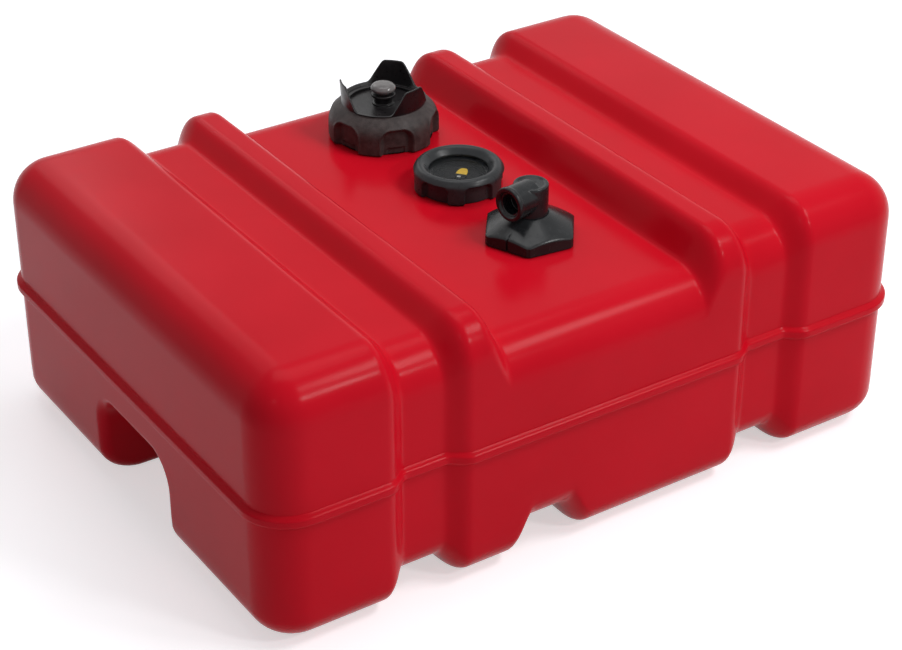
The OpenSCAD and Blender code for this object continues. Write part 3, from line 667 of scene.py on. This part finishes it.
@dataclass
class TankSkin:
    """The blow-moulded tank, with its trough, strap channels, hand holds and parting bead."""

    length: float = 600.0
    width: float = 448.0
    height: float = 229.0
    wall: float = 4.0
    corner: float = 36.0
    foot: float = 30.0
    trough_half: float = 100.0
    trough_depth: float = 29.5
    flank: float = 22.0
    strap_x: float = 162.7
    strap_width: float = 52.0
    strap_top: float = 16.5
    strap_side: float = 10.6
    strap_sole: float = 16.0
    notch_x: float = -49.8
    notch_width: float = 53.0
    notch_height: float = 27.0
    hold_width: float = 113.0
    hold_height: float = 81.0
    hold_corner: float = 24.0
    hold_depth: float = 66.0
    hold_edge: float = 9.0
    bead_z: float = 117.5
    bead_out: float = 4.2
    bead_half: float = 5.6
    bead_flank: float = 3.0
    bead_clear: float = 7.0
    crest_shift: float = 1.9
    crest_power: float = 1.3
    neck_holes: tuple[tuple[float, float], ...] = ((131.5, 33.1), (14.5, 30.1), (-88.0, 24.1))

    def build(self) -> list[bpy.types.Object]:
        """Builds and dresses the two mouldings.

        Returns:
            The upper and the lower moulding.
        """
        bm = combined(self._rounded_box(), self._cutters(), "DIFFERENCE")
        self._soften_holds(bm)
        self._open_holes(bm)
        self._add_loops(bm)
        displaced(bm, self._pressed)
        bmesh.ops.recalc_face_normals(bm, faces=bm.faces)
        return [self._moulding(bm.copy(), "tank_top", above=True), self._moulding(bm, "tank_base", above=False)]

    def _moulding(self, bm: Mesh, node: str, above: bool) -> bpy.types.Object:
        """Keeps one side of the parting bead's middle and gives it its wall.

        Args:
            bm: The whole skin.
            node: The CAD node that the moulding stands for.
            above: Whether the upper side is kept.

        Returns:
            The finished moulding.
        """
        sliced(bm, (0, 0, self.bead_z), (0, 0, 1), clear_inner=above, clear_outer=not above)
        obj = as_object(bm, "skin")
        walls = obj.modifiers.new("walls", "SOLIDIFY")
        walls.thickness = self.wall
        walls.offset = -1.0
        walls.use_even_offset = True
        return Fitting(f"{node}_skin", "tank", "tank_red", node).finish(applied(obj), (0, 0, 0), TANK_RED)

    def _rounded_box(self) -> Mesh:
        """Makes the plain box with its rounded edges."""
        bm = block((self.length, self.width, self.height), (0, 0, self.height / 2))
        soften(bm, bm.edges[:], self.corner, 12)
        for v in bm.verts:
            if v.co.z < self.corner:
                v.co.z *= self.foot / self.corner
        return bm

    def _cutters(self) -> Mesh:
        """Makes the shapes that cut the hand holds and start the neck holes."""
        parts = []
        for side in (-1, 1):
            reach, low = self.hold_depth + 30.0, -20.0
            x = side * (self.length / 2 - self.hold_depth + reach / 2)
            bm = block((reach, self.hold_width, self.hold_height - low), (x, 0, (self.hold_height + low) / 2))
            upper = [e for e in bm.edges if abs((e.verts[0].co - e.verts[1].co).x) > 1
                     and e.verts[0].co.z > 0]
            soften(bm, upper, self.hold_corner, 8)
            parts.append(bm)
        for y, radius in self.neck_holes:
            bm = bmesh.new()
            bmesh.ops.create_cone(bm, cap_ends=True, segments=Round.COARSE.value, radius1=radius,
                                  radius2=radius, depth=20.0)
            bmesh.ops.translate(bm, verts=bm.verts, vec=(ROW_X, y, self.height))
            parts.append(bm)
        return joined(parts)

    def _soften_holds(self, bm: Mesh) -> None:
        """Rounds the sharp edges that the hand holds leave."""
        sharp = [e for e in bm.edges if len(e.link_faces) == 2
                 and e.calc_face_angle(0.0) > math.radians(35) and e.verts[0].co.z < self.bead_z]
        soften(bm, sharp, self.hold_edge, 5, clamp=True)

    def _open_holes(self, bm: Mesh) -> None:
        """Takes out the pockets that mark the neck holes."""
        def in_pocket(face: bmesh.types.BMFace) -> bool:
            """Tells whether a face lies under the top, within a neck hole."""
            c = face.calc_center_median()
            return self.height - 12 < c.z < self.height - 1 and any(
                math.hypot(c.x - ROW_X, c.y - y) < r + 1 for y, r in self.neck_holes)

        bmesh.ops.delete(bm, geom=[f for f in bm.faces if in_pocket(f)], context="FACES")

    def _add_loops(self, bm: Mesh) -> None:
        """Divides the skin where its reliefs bend and where the bead runs."""
        half = self.strap_width / 2
        flanks = [s * c for s in (-1, 1) for c in (
            self.trough_half, self.strap_x - half, self.strap_x + half)]
        flanks += [self.notch_x - self.notch_width / 2, self.notch_x + self.notch_width / 2]
        stations = sorted(c + (self.flank + 4) * (k / 14 - 0.5) for c in flanks for k in range(15))
        stations += [s * x for s in (-1, 1) for x in (40.0, 122.0, 162.0, 215.0, 240.0)]
        for x in stations:
            sliced(bm, (x, 0, 0), (1, 0, 0))
        for k in range(17):
            sliced(bm, (0, 0, self.bead_z + 6.4 * (k / 8 - 1)), (0, 0, 1))

    def _band(self, x: float, centre: float, half: float) -> float:
        """Returns 1 inside a band along X, 0 outside it, with flanks that are rounder at the top."""
        inside = (half + self.crest_shift + self.flank / 2 - abs(x - centre)) / self.flank
        return smooth(min(1.0, max(0.0, inside)) ** self.crest_power)

    def _pressed(self, co: Vector) -> Vector:
        """Moves a point of the plain skin to its place on the finished tank."""
        x, y, z = co
        strap = self._band(abs(x), self.strap_x, self.strap_width / 2)
        trough = self._band(x, 0.0, self.trough_half)
        notch = self._band(x, self.notch_x, self.notch_width / 2)
        off = self.bead_out * smooth((self.bead_half - abs(z - self.bead_z)) / self.bead_flank)
        end, inner = self.length / 2 - self.corner, self.width / 2 - self.corner
        core = Vector((max(-end, min(end, x)), max(-inner, min(inner, y))))
        away = Vector((x, y)) - core
        if off > 0 and away.length > 1:
            shift = away.normalized() * off
            x, y = x + shift.x, y + shift.y
        y -= math.copysign(self.strap_side * strap * min(1.0, abs(co.y) / inner), y)
        low, high = self.foot + 4.0, self.height - self.corner
        above, below = self.bead_z + self.bead_clear, self.bead_z - self.bead_clear
        if z > above:
            sink = self.trough_depth * trough + self.strap_top * strap
            z -= sink * min(1.0, (z - above) / (high - above))
        elif z < below:
            rise = self.strap_sole * strap + self.notch_height * notch
            z += rise * min(1.0, (below - z) / (below - low))
        return Vector((x, y, z))


# ---- necks


@dataclass
class Neck(Station):
    """A threaded neck that stands in the trough's floor."""

    name: str
    radius: float
    bore: float
    height: float
    pitch: float
    turns: float
    groove: float = 1.1
    spigot: float = 6.4

    def build(self) -> None:
        """Builds the neck's barrel, foot and thread."""
        root = self.radius - self.groove
        barrel = turned([
            (self.bore, -self.spigot, 0.6), (self.radius, -self.spigot, 0.6),
            (self.radius, 0.0), (self.radius + 2, 0.0, 0.3), (self.radius + 2, 2.4, 0.8),
            (root, 2.4, 0.8), (root, self.height - 0.3, 0.8), (root - 0.6, self.height, 0.8),
            (self.bore, self.height, 0.8)], Round.FINE)
        thread = thread_ridge(root, self.radius - 0.05, 2.4 + self.pitch * 0.5, self.pitch, self.turns)
        self.add(Fitting(f"{self.name}_threaded", "tank", "tank_red", self.name),
                 joined([barrel, thread]), NECK_RED)


# ---- fuel cap


@dataclass
class FuelCap(Station):
    """The vented filler cap: grip, inner cap, gasket and vent screw."""

    y: float = 131.5
    skirt: float = 47.4
    skirt_inside: float = 40.4
    shoulder: float = 18.0
    rim: float = 36.2
    rim_z: float = 32.0
    petal_top: float = 53.0
    petal_wall: float = 2.4
    petal_angle: float = 44.0
    recess_angle: float = 12.5
    recess_width: float = 26.0
    recess_height: float = 22.0
    recess_depth: float = 5.0
    well: float = 30.4
    deck: float = 28.8
    bore: float = 33.3
    outside: float = 36.1
    seat: float = 29.8

    def build(self) -> None:
        """Builds all the cap's pieces."""
        self._grip()
        self._inner()
        self._gasket()
        self._vent()

    def _grip(self) -> None:
        """Builds the outer grip with its recesses and petals."""
        under = self.deck + 0.3
        tip = self.petal_top
        corners = [
            (self.skirt_inside, 0.8, 0.5), (self.skirt, 0.8, 1.4),
            (self.skirt, self.shoulder, 6.0), (self.skirt - 2.4, self.shoulder + 6.6, 4.0),
            (self.rim + 3.0, self.rim_z - 2.2, 3.0), (self.rim, self.rim_z, 1.4),
            (self.rim + 1.2, tip, 1.0), (self.rim - 0.5, tip, 1.0),
            (self.rim - self.petal_wall, self.rim_z, 1.0),
            (self.rim - self.petal_wall, under + 2.2, 0.8), (self.well, under + 2.2, 0.5),
            (self.well, under, 0.3), (self.outside + 1.6, under, 0.6),
            (self.outside + 2.4, under - 3, 1.0), (self.skirt_inside, self.shoulder - 2, 2.0)]

        def step(r: float, z: float) -> float:
            """Gives the longest segment: fine where the recesses are carved."""
            if r > self.skirt_inside + 0.5 and z < self.recess_height + 4:
                return 0.6
            return 1.3 if z > self.rim_z else 2.5

        bm = displaced(turned(corners, Round.CARVED, step), self._carved)
        for face in bm.faces:
            c = face.calc_center_median()
            face.material_index = int(c.z > self.rim_z + 0.2 or c.xy.length < self.rim - 1)
        self.add(Fitting("fuel_cap_grip", "cap_shell", "cap_plastic", "fuel_cap_shell"), bm,
                 CAP_SKIRT, CAP_SMOOTH, crease=60)

    def _carved(self, co: Vector) -> Vector:
        """Presses the recesses into the skirt and cuts the petals out of the collar."""
        radius = co.xy.length
        angle, z = azimuth(co), co.z
        if z > self.rim_z:
            z = self.rim_z + (z - self.rim_z) * self._petal(angle)
        floor = self.skirt - self.recess_depth
        if radius > floor and z < self.recess_height + 4:
            u = math.radians(turn_between(angle, self.recess_angle, 60.0)) * self.skirt
            far = arch_distance(u, co.z, self.recess_width / 2, self.recess_height, 8.0)
            target = radius - (radius - floor) * smooth((2.0 - far) / 3.0)
            foot = arch_distance(u, co.z, 8.6, 6.0, 0.8)
            target -= 1.5 * smooth((0.5 - foot) / 1.0)
            target += 0.5 * math.exp(-(((far - 2.6) / 0.9) ** 2)) if co.z > 2 else 0.0
            co = co * (target / radius)
        return Vector((co.x, co.y, z))

    def _petal(self, angle: float) -> float:
        """Returns the collar's height at an angle, from its low rim at 0.07 to 1 at a petal's tip."""
        off = abs(turn_between(angle, self.petal_angle, 120.0))
        side = (36.0 - off) / 21.5
        low, blend = 0.07, 0.16
        top = soft_min(side, 1.0, blend)
        return -soft_min(-top, -low, blend)

    def _inner(self) -> None:
        """Builds the threaded inner cap with its ratchet and the vent's tower."""
        tower, collar, top = 8.0, 10.4, self.deck + 9.8
        corners = [
            (0.0, 26.0), (self.bore, 26.0, 0.8), (self.bore, 6.6, 0.5),
            (self.outside, 6.6, 0.5), (self.outside, self.deck, 1.0),
            (collar - 0.6, self.deck, 0.5), (collar - 0.8, self.deck + 1.8, 0.7),
            (tower, self.deck + 1.9, 0.7), (tower, self.deck + 7.4, 0.8),
            (collar, self.deck + 7.4, 0.9), (collar, top, 0.9),
            (4.3, top, 0.5), (4.3, self.seat, 0.3), (0.0, self.seat)]

        def toothed(co: Vector) -> Vector:
            """Raises the ratchet's teeth out of the wall."""
            radius, low, high, pitch = co.xy.length, 9.2, 15.0, 15.0
            if radius < self.outside - 0.3 or not low < co.z < high:
                return co
            phase = (azimuth(co) % pitch) / pitch
            height = 1.2 * smooth(phase / 0.75) * smooth((1 - phase) / 0.18)
            height *= smooth((co.z - low) / 0.8) * smooth((high - co.z) / 0.8)
            return at_radius(co, radius + height)

        bm = turned(corners, Round.FINE, lambda r, z: 0.9 if r > self.outside - 0.5 else 3.0)
        displaced(bm, toothed)
        self.add(Fitting("fuel_cap_inner_cup", "cap_inner", "ring_plastic", "fuel_cap_inner"), bm, CAP_SMOOTH)

    def _gasket(self) -> None:
        """Builds the flat ring that seals the cap on the neck."""
        bm = turned([(28.6, 24.0, 0.5), (32.7, 24.0, 0.5), (32.7, 26.0, 0.5), (28.6, 26.0, 0.5)], Round.COARSE)
        self.add(Fitting("fuel_cap_seal_ring", "cap_seal", "seal_rubber", "fuel_cap_gasket"), bm, SEAL_BLACK)

    def _vent(self) -> None:
        """Builds the mushroom-headed vent screw."""
        head, low, height, stem_low = 10.8, self.deck + 12.3, 6.5, 33.6
        corners = [
            (0.0, low + 3.6), (1.85, low + 3.6, 0.2), (1.85, stem_low, 0.2),
            (4.0, stem_low, 0.4), (4.0, low - 2.2, 0.3), (6.6, low - 2.2, 0.5),
            (6.6, low, 0.7), (head - 1.2, low, 0.8), (head, low + 1.4, 1.0),
            (head, low + 3.3, 1.8), (head - 1.9, low + height - 0.9, 2.4),
            (head - 5.2, low + height, 3.4), (0.0, low + height)]
        bm = turned(corners, Round.COARSE, lambda r, z: 2.0, steps=8)
        self.add(Fitting("vent_screw_head", "vent_screw", "vent_grey", "vent_screw"), bm, VENT_GREY)


# ---- gauge


@dataclass
class FloatGauge(Station):
    """The gauge's parts that show: ring nut, dial, window and pointer."""

    y: float = 14.5
    ring: float = 38.2
    height: float = 21.5
    window: float = 25.0
    scallop_depth: float = 4.0
    scallop_height: float = 16.0
    scallop_half: float = 12.6
    tooth_angle: float = 233.0
    pointer_angle: float = 40.0
    hub_reach: float = 6.0

    def build(self) -> None:
        """Builds all the gauge's pieces that show."""
        self._ring()
        self._dial()
        self._lens()
        self._pointer()

    def _ring(self) -> None:
        """Builds the scalloped ring nut."""
        crest = self.ring - 6.0
        corners = [
            (32.3, 0.8, 0.4), (self.ring, 0.8, 1.2), (self.ring, 15.4, 2.0),
            (self.ring - 1.0, self.height - 3.6, 2.2), (self.ring - 3.4, self.height - 0.8, 1.6),
            (crest, self.height, 2.6), (crest - 2.6, self.height - 0.8, 2.0),
            (self.window + 1.2, 17.4, 2.0), (self.window, 16.2, 0.6), (self.window, 14.6, 0.3),
            (30.3, 14.6, 0.5), (30.3, 2.7, 0.4), (32.3, 2.7, 0.3)]

        def step(r: float, z: float) -> float:
            """Gives the longest segment: fine where the scallops are carved."""
            return 0.6 if r > self.ring - 2 and z < self.scallop_height + 5 else 1.6

        def carved(co: Vector) -> Vector:
            """Presses the scallops into the skirt."""
            radius = co.xy.length
            floor = self.ring - self.scallop_depth
            if radius <= floor or co.z > self.scallop_height + 4:
                return co
            u = math.radians(turn_between(azimuth(co), self.tooth_angle + 30.0, 60.0)) * self.ring
            far = arch_distance(u, co.z, self.scallop_half, self.scallop_height, 5.5)
            target = radius - (radius - floor) * smooth((0.6 - far) / 1.4)
            return at_radius(co, target)

        bm = displaced(turned(corners, Round.CARVED, step, steps=6), carved)
        self.add(Fitting("gauge_ring_nut", "tank", "ring_plastic", "gauge_ring"), bm, RING_BLACK, crease=60)

    def _dial(self) -> None:
        """Builds the dished dial plate and its spacer."""
        bm = turned([
            (2.6, 4.8, 0.2), (21.2, 4.8), (21.2, -0.2, 0.2), (22.7, -0.2, 0.2),
            (22.7, 5.8, 0.3), (20.6, 5.8, 0.3), (20.0, 5.5, 0.3), (4.2, 5.5, 0.3),
            (3.8, 5.8, 0.2), (2.6, 5.8, 0.2)], Round.COARSE)
        self.add(Fitting("gauge_dial_plate", "tank", "dial_black", "gauge_dial"), bm, DIAL_BLACK)

    def _lens(self) -> None:
        """Builds the window, a little domed in the middle."""
        corners = [(0.0, 12.5), (27.2, 12.5, 0.3), (27.2, 14.3, 0.3),
                   (23.4, 14.3, 2.0), (14.0, 15.2, 5.0), (0.0, 15.6)]
        bm = turned(corners, Round.COARSE, lambda r, z: 3.0)
        self.add(Fitting("gauge_window", "tank", "lens_clear", "gauge_lens"), bm, LENS_CLEAR)

    def _pointer(self) -> None:
        """Builds the pointer, a rounded tongue with a yellow tip on a black hub."""
        bm = bmesh.new()
        outline = rounded([(-3.6, -3.4, 3.0), (4.0, -4.6, 2.0), (11.0, -4.6, 3.0),
                           (17.0, -2.8, 3.0), (17.0, 2.8, 3.0), (11.0, 4.6, 3.0),
                           (4.0, 4.6, 2.0), (-3.6, 3.4, 3.0)], 6)
        face = bm.faces.new([bm.verts.new((x, y, 6.4)) for x, y in outline])
        top = bmesh.ops.extrude_face_region(bm, geom=[face])["geom"]
        bmesh.ops.translate(bm, verts=[g for g in top if isinstance(g, bmesh.types.BMVert)], vec=(0, 0, 1.2))
        rim = [e for e in bm.edges if len(e.link_faces) == 2 and e.calc_face_angle(0.0) > math.radians(60)]
        soften(bm, rim, 0.35, 3)
        sliced(bm, (self.hub_reach, 0, 0), (1, 0, 0))
        for face in bm.faces:
            face.material_index = int(face.calc_center_median().x < self.hub_reach)
        bmesh.ops.rotate(bm, verts=bm.verts, matrix=Matrix.Rotation(math.radians(self.pointer_angle), 3, "Z"))
        bmesh.ops.recalc_face_normals(bm, faces=bm.faces)
        self.add(Fitting("gauge_pointer_tongue", "pointer", "pointer_yellow", "gauge_pointer"), bm,
                 POINTER_YELLOW, DIAL_BLACK)


# ---- pickup


@dataclass
class Pickup(Station):
    """The fuel pickup's parts that show: hexagon nut and hose elbow."""

    y: float = -88.0
    flats: float = 69.6
    corner_z: float = 8.3
    slope: float = 28.0
    face_angle: float = 203.0
    barrel: float = 14.2
    top: float = 47.0
    port_z: float = 36.0
    port_reach: float = 25.5
    port: float = 14.4
    port_bore: float = 9.6
    port_turn: float = 10.0
    thread_depth: float = 13.0
    passage: float = 4.0
    dip: float = 5.5

    def build(self) -> None:
        """Builds the nut and the elbow."""
        self._nut()
        self._elbow()

    def _nut(self) -> None:
        """Builds the hexagon nut with its conical top and the slit in one flat."""
        half = self.flats / 2
        corner = half / math.cos(math.pi / 6)
        inner = self.barrel + 0.3
        crown = inner + 0.9
        crown_z = self.corner_z + (corner - crown) * math.tan(math.radians(self.slope))
        corners = [
            (26.3, 0.8, 0.3), (corner, 0.8, 0.8), (corner, self.corner_z, 0.8),
            (crown, crown_z, 0.9), (inner, crown_z, 0.4), (inner, 11.9, 0.3),
            (24.3, 11.9, 0.3), (24.3, 2.7, 0.3), (26.3, 2.7, 0.3)]

        def flattened(co: Vector) -> Vector:
            """Presses the flats and the slit into the turned nut."""
            radius = co.xy.length
            angle = azimuth(co)
            off = turn_between(angle, self.face_angle, 60.0)
            edge = half / math.cos(math.radians(off))
            edge = min(edge, corner - 1.1 * smooth((abs(off) - 26.0) / 4.0))
            target = soft_min(radius, edge, 1.3) if radius > half - 4 else radius
            u = math.radians(turn_between(angle, self.face_angle, 360.0)) * half
            if radius > half - 4 and abs(u) < 1.2:
                target -= 1.4 * smooth((1.1 - abs(u)) / 0.6)
            return at_radius(co, target)

        bm = turned(corners, Round.CARVED, lambda r, z: 0.55 if r > half - 3 else 1.8)
        displaced(bm, flattened)
        self.add(Fitting("pickup_hex_nut", "tank", "ring_plastic", "pickup_nut"), bm, NUT_BLACK, crease=60)

    def _toward_port(self, bm: Mesh) -> Mesh:
        """Lays a mesh that was turned about Z along the hose port."""
        turn = (Matrix.Rotation(math.radians(180 + self.port_turn), 4, "Z")
                @ Matrix.Rotation(math.pi / 2, 4, "Y"))
        bmesh.ops.transform(bm, verts=bm.verts, matrix=Matrix.Translation((0, 0, self.port_z)) @ turn)
        return bm

    def _elbow(self) -> None:
        """Builds the flanged elbow with its ringed top and threaded port."""
        flange = 23.7
        body = turned([
            (0, -16.0), (8.0, -16.0, 0.6), (8.0, 9.0), (flange, 9.0, 0.4),
            (flange, 11.6, 0.4), (self.barrel, 11.6, 0.8), (self.barrel, self.top, 1.6),
            (11.6, self.top, 0.8), (10.8, self.top - 1.0, 0.8), (4.6, self.top - 1.0, 0.6),
            (3.8, self.top - 1.8, 0.6), (0, self.top - 1.8)], Round.COARSE)
        outside = turned([
            (0, 0), (self.port - 1.0, 0), (self.port - 0.4, self.port_reach - 4.0, 0.6),
            (self.port, self.port_reach - 3.6, 0.6), (self.port, self.port_reach, 1.4),
            (0, self.port_reach)], Round.COARSE)
        bm = combined(body, self._toward_port(outside), "UNION")
        mouth = turned([
            (0, -self.passage - 1), (self.passage + 0.5, -self.passage - 1),
            (self.passage + 0.5, self.port_reach - self.thread_depth),
            (self.port_bore, self.port_reach - self.thread_depth),
            (self.port_bore, self.port_reach - 1.8, 0.5), (self.port_bore + 2.0, self.port_reach + 0.2),
            (self.port_bore + 2.0, self.port_reach + 3), (0, self.port_reach + 3)], Round.COARSE)
        bm = combined(bm, self._toward_port(mouth), "DIFFERENCE")
        riser = turned([(0, -18), (self.dip, -18), (self.dip, -3), (self.passage, -3),
                        (self.passage, self.port_z), (0, self.port_z)], Round.COARSE)
        bm = blended(combined(bm, riser, "DIFFERENCE"), 0.45, 5)
        thread = self._toward_port(thread_ridge(
            self.port_bore + 0.1, self.port_bore - 1.15, self.port_reach - self.thread_depth + 1.2, 1.9, 5.2))
        self.add(Fitting("pickup_hose_elbow", "tank", "ring_plastic", "pickup_elbow"), joined([bm, thread]),
                 NUT_BLACK, crease=70)


# ---- carried-over CAD pieces


CARRIED: dict[str, Finish] = {
    "vent_plunger": STEEL,
    "vent_seal": SEAL_BLACK,
    "gauge_gasket": SEAL_BLACK,
    "gauge_housing": RING_BLACK,
    "gauge_stem": ACETAL,
    "arm_pin": STEEL,
    "pointer_shaft": STEEL,
    "shaft_pinion": ACETAL,
    "arm_gear": ACETAL,
    "float_arm": STEEL,
    "gauge_float": FLOAT_FOAM,
    "pickup_gasket": SEAL_BLACK,
    "dip_tube": PICKUP_POLY,
    "pickup_strainer": PICKUP_POLY,
}


def dress_carried() -> None:
    """Gives every CAD node that stays its finish."""
    for node, finish in CARRIED.items():
        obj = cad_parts[node]
        material = finish.material()
        for slot in obj.material_slots:
            slot.material = material
        LOG.info("%s: carried over in %s", node, material.name)


# ---- stage


@dataclass(frozen=True)
class Lamp:
    """A soft rectangular lamp that points at the tank.

    Attributes:
        name: Name of the lamp.
        azimuth: Direction it stands in, in degrees from +X towards +Y.
        elevation: Its height above the horizon in degrees.
        distance: Distance from the tank in metres.
        size: Its width and height in metres.
        power: Its power in watts.
        color: Colour of its light.
    """

    name: str
    azimuth: float
    elevation: float
    distance: float
    size: tuple[float, float]
    power: float
    color: Color = (1.0, 1.0, 1.0)

    def place(self) -> None:
        """Adds the lamp to the scene."""
        data = bpy.data.lights.new(self.name, "AREA")
        data.shape = "RECTANGLE"
        data.size, data.size_y = self.size
        data.energy = self.power
        data.color = self.color
        lamp = bpy.data.objects.new(self.name, data)
        a, e = math.radians(self.azimuth), math.radians(self.elevation)
        toward = Vector((math.cos(a) * math.cos(e), math.sin(a) * math.cos(e), math.sin(e)))
        lamp.location = Vector((0, 0, 0.12)) + toward * self.distance
        lamp.rotation_euler = toward.to_track_quat("Z", "Y").to_euler()
        bpy.context.scene.collection.objects.link(lamp)


LAMPS = (
    Lamp("key_panel", -48.0, 52.0, 2.2, (0.8, 0.45), 17.5),
    Lamp("top_panel", 60.0, 78.0, 2.2, (1.6, 1.2), 17.0),
    Lamp("edge_panel", -70.0, 36.0, 2.4, (0.34, 0.16), 10.0),
    Lamp("left_panel", 214.0, 38.0, 2.4, (0.12, 0.12), 0.9, (0.86, 0.88, 1.0)),
    Lamp("back_panel", 90.0, 35.0, 2.4, (1.2, 0.8), 5.0),
)


def seen_rays(tree: bpy.types.NodeTree) -> Socket:
    """Tells the rays that show the background: from the camera, off a gloss or through a window.

    Args:
        tree: The node tree that asks.

    Returns:
        1 for such a ray and 0 for one that lights the object.
    """
    rays = tree.nodes.new("ShaderNodeLightPath")
    seen = rays.outputs["Is Camera Ray"]
    for kind in ("Is Glossy Ray", "Is Transmission Ray"):
        either = tree.nodes.new("ShaderNodeMath")
        either.operation = "MAXIMUM"
        tree.links.new(seen, either.inputs[0])
        tree.links.new(rays.outputs[kind], either.inputs[1])
        seen = either.outputs[0]
    return seen


@dataclass
class Studio:
    """The floor, the world, the lamps and the camera."""

    focal_px: float = 2245.24
    frame_width: int = 902
    sensor: float = 36.0
    yaw: float = 0.584148
    pitch: float = 0.5424178
    eye: tuple[float, float, float] = (-0.8992, -1.3635, 1.0623)

    def build(self) -> None:
        """Builds the whole stage."""
        self._floor()
        self._world()
        for lamp in LAMPS:
            lamp.place()
        self._camera()
        bpy.context.scene.view_settings.view_transform = "Standard"

    def _floor(self) -> None:
        """Lays the pale floor, which shows white and keeps a soft shadow."""
        bm = bmesh.new()
        bmesh.ops.create_grid(bm, x_segments=2, y_segments=2, size=6.0)
        bmesh.ops.translate(bm, verts=bm.verts, vec=(0, 0, -0.0006))
        floor = as_object(bm, "studio_floor")
        tree = NodeTree("studio_floor")
        fill(tree.shader, Base_Color=(0.78, 0.78, 0.80, 1.0), Roughness=0.9, Specular_IOR_Level=0.1,
             Emission_Color=(1, 1, 1, 1))
        lift = tree.add("Math")
        lift.operation = "MULTIPLY"
        lift.inputs[1].default_value = 0.55
        tree.join(seen_rays(tree.material.node_tree), lift.inputs[0])
        tree.join(lift.outputs[0], tree.shader.inputs["Emission Strength"])
        floor.data.materials.append(tree.material)

    def _world(self) -> None:
        """Sets an even pale surround that shows as white."""
        world = bpy.data.worlds.new("studio")
        world.use_nodes = True
        nodes, links = world.node_tree.nodes, world.node_tree.links
        nodes.clear()
        output = nodes.new("ShaderNodeOutputWorld")
        mix = nodes.new("ShaderNodeMixShader")
        dim, white = nodes.new("ShaderNodeBackground"), nodes.new("ShaderNodeBackground")
        fill(dim, Color=(0.9, 0.92, 1.0, 1.0), Strength=0.22)
        fill(white, Color=(1, 1, 1, 1), Strength=1.0)
        links.new(seen_rays(world.node_tree), mix.inputs["Fac"])
        links.new(dim.outputs[0], mix.inputs[1])
        links.new(white.outputs[0], mix.inputs[2])
        links.new(mix.outputs[0], output.inputs["Surface"])
        bpy.context.scene.world = world

    def _camera(self) -> None:
        """Sets the camera at the photograph's viewpoint."""
        data = bpy.data.cameras.new("photo_view")
        data.sensor_width = self.sensor
        data.lens = self.focal_px * self.sensor / self.frame_width
        data.clip_end = 50.0
        camera = bpy.data.objects.new("photo_view", data)
        camera.location = self.eye
        camera.rotation_euler = (math.pi / 2 - self.pitch, 0.0, -self.yaw)
        bpy.context.scene.collection.objects.link(camera)
        bpy.context.scene.camera = camera


# ---- main


def main() -> None:
    """Builds the stage and every piece of the tank in order."""
    logging.basicConfig(level=logging.INFO, format="%(relativeCreated)6d ms %(message)s")
    Studio().build()
    TankSkin().build()
    for neck in (Neck(131.5, "filler_neck", 33.0, 28.0, 24.0, 5.0, 3.2),
                 Neck(14.5, "gauge_neck", 30.0, 26.0, 10.0, 2.6, 1.8),
                 Neck(-88.0, "pickup_neck", 24.0, 20.0, 7.5, 2.2, 1.4)):
        neck.build()
    FuelCap().build()
    FloatGauge().build()
    Pickup().build()
    dress_carried()


if __name__ == "__main__":
    main()
